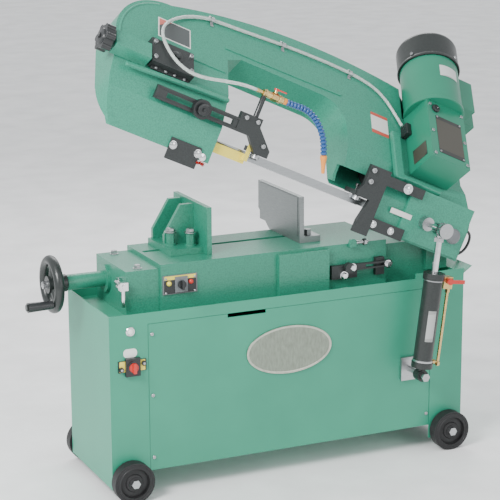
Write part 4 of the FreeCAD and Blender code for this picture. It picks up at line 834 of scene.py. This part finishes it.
# ---------------------------------------------------------------- coolant gooseneck
def gooseneck():
    """A segmented hose of ball joints, its orange ends and its cone nozzle."""
    route = [(336, 8, 697), (366, 8, 697), (400, 8, 700), (432, 8, 690), (462, 8, 667), (484, 8, 636),
             (496, 8, 604)]
    guide = route_curve("gooseneck_line", route, BOW, 1.0, "left_guide", "blue")
    points = path_points(guide)
    bpy.data.objects.remove(guide)
    lengths = [0.0]
    for a, b in zip(points, points[1:]):
        lengths.append(lengths[-1] + (b - a).length)

    def spot(distance):
        for i in range(1, len(points)):
            if lengths[i] >= distance:
                share = (distance - lengths[i - 1]) / max(1e-9, lengths[i] - lengths[i - 1])
                return points[i - 1].lerp(points[i], share), (points[i] - points[i - 1]).normalized()
        return points[-1], (points[-1] - points[-2]).normalized()

    count = 20
    links = []
    start = 0.010
    step = (lengths[-1] - 0.012 - start) / count
    for index in range(count):
        place, heading = spot(start + step * (index + 0.5))
        turn = heading.to_track_quat("Z", "Y").to_matrix().to_4x4()
        half = step / MM / 2
        profile = [(4.6, -half), (6.2, -half + 0.6), (8.0, -half + 2.2), (8.2, 0), (7.6, half - 2.6),
                   (5.6, half - 1.2), (4.6, half)]
        links.append((lathe(profile, 24), Matrix.Translation(place) @ turn @ Matrix.Scale(MM, 4)))
    body = place_piece("gooseneck_links", join(links), Matrix(), "left_guide", "blue")
    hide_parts("segmented_hose")
    first, heading = spot(0.001)
    turn = heading.to_track_quat("Z", "Y").to_matrix().to_4x4()
    place_piece("gooseneck_base", lathe([(8.3, 0), (8.3, 7), (7.2, 8.5), (5, 11)], 6),
                Matrix.Translation(first) @ turn @ Matrix.Scale(MM, 4), "left_guide", "orange")
    last, heading = spot(lengths[-1] - 0.012)
    turn = heading.to_track_quat("Z", "Y").to_matrix().to_4x4()
    place_piece("gooseneck_nozzle",
                lathe([(4.6, 0), (8.2, 1.6), (8.4, 9), (7.2, 12), (5.2, 26), (4.0, 44), (2.6, 44), (2.6, 38),
                       (0, 38)]),
                Matrix.Translation(last) @ turn @ Matrix.Scale(MM, 4), "left_guide", "orange")


# ---------------------------------------------------------------- guide, valve and cylinder details
def guide_details():
    skirt = BOW @ at(0, 0, 0, FRONT)
    fasteners("guide_bracket_screws", lambda: cap_screw(5.5, 5),
              [at(262, 628, -4), at(294, 628, -4), at(330, 580, -4)], skirt, "left_guide", "steel")
    fasteners("guide_thumb_screws", lambda: join([
        (lathe([(2.6, 0), (2.6, 12)], 12), Matrix()),
        (lathe([(5.5, 11), (5.5, 17), (4.5, 18), (0, 18)], 14), Matrix())]),
        [at(324, 27, 568.5), at(342, 27, 568.5)], BOW, "left_guide", "plastic")
    fasteners("right_thumb_screws", lambda: join([
        (lathe([(2.6, 0), (2.6, 10)], 12), Matrix()),
        (lathe([(5.5, 9), (5.5, 15), (4.5, 16), (0, 16)], 14), Matrix())]),
        [at(621, 27, 568.5), at(641, 27, 568.5)], BOW, "bow", "plastic")
    rails = []
    for height in (593, 619):
        rails.append((slab(228, 5, 2.4, 2), at(146, height, -6.1)))
    place_piece("guide_bar_rails", join(rails), skirt, "left_guide", "cast", smooth=False)
    place_piece("guide_knob_cap", join([
        (lathe([(15, 0), (13.5, 2.4), (9, 3.2), (6, 2.6), (0, 2.6)], 32), Matrix()),
        (lathe([(4.4, 2.4), (4.4, 6), (3.6, 6.8), (0, 6.8)], 6), Matrix())]),
        skirt @ at(146, 606, 16.2), "guide_knob_body", "plastic")
    place_piece("tension_knob_cap", join([
        (lathe([(20, 0), (18, 3), (9, 4), (7, 2.4), (0, 2.4)], 32), Matrix()),
        (lathe([(5.2, 2.4), (5.2, 7), (4.2, 8), (0, 8)], 6), Matrix())]),
        WHEELS @ at(-128, 96, 85, Matrix.Rotation(math.radians(-90), 4, "Y")), "tension_knob_body", "plastic")
    # brass tap: collars and nuts on its body, sleeve on its post
    along = Matrix.Rotation(math.radians(90), 4, "Y")
    place_piece("tap_collars", join([
        (lathe([(9.6, 0), (9.6, 6), (8, 7)], 6), at(284, 8, 697, along)),
        (lathe([(9.2, 0), (9.8, 2), (9.8, 6), (9.2, 8)], 24), at(322, 8, 697, along))]),
        BOW, "left_guide", "brass")
    place_piece("tap_post_sleeve", lathe([(6.6, 0), (6.6, 48), (5.4, 50), (5.4, 53)], 20),
                BOW @ at(286, 8, 638), "left_guide", "plastic")


def cylinder_details():
    """Collars, blank plate and brass fittings of the feed cylinder."""
    blank = banded_label("cylinder_blank_plate", (0.42, 0.43, 0.42), (0.30, 0.31, 0.30), 0.12, 0.88, "Z")
    shape = bmesh.new()
    columns = []
    for i in range(11):
        angle = math.radians(236 + 50 * i / 10)
        columns.append([shape.verts.new((24.35 * math.cos(angle), 24.35 * math.sin(angle), z))
                        for z in (90, 168)])
    for a, b in zip(columns, columns[1:]):
        shape.faces.new((a[0], b[0], b[1], a[1]))
    place_piece("cylinder_plate_blank", shape, CYLINDER, "barrel_body", blank)
    place_piece("cylinder_collars", join([
        (lathe([(24.2, 34), (25.4, 35), (25.4, 39), (24.2, 40)], 40), Matrix()),
        (lathe([(24.2, 240), (25.4, 241), (25.4, 243), (24.2, 244)], 40), Matrix())]),
        CYLINDER, "barrel_body", "steel")
    place_piece("cylinder_fittings", join([
        (lathe([(6.5, 0), (6.5, 9), (5.2, 10)], 6), at(44, 0, 212)),
        (lathe([(6.5, 0), (6.5, 8), (5.2, 9)], 6), at(44, 0, 26)),
        (lathe([(6.2, 0), (6.2, 7), (5, 8)], 6), at(27, 0, 34, Matrix.Rotation(math.radians(90), 4, "Y")))]),
        CYLINDER, "barrel_body", "brass")
    place_piece("cylinder_rod_nut", lathe([(13, 0), (13, 9), (11, 11)], 6), CYLINDER @ at(0, 0, 338),
                "rod_body", "steel")


# ---------------------------------------------------------------- make it
camera()
hose = cords()
studio()
dress_cad()
cabinet_details()
bed_details()
bow_details(hose)
blade_teeth()
gooseneck()
guide_details()
cylinder_details()
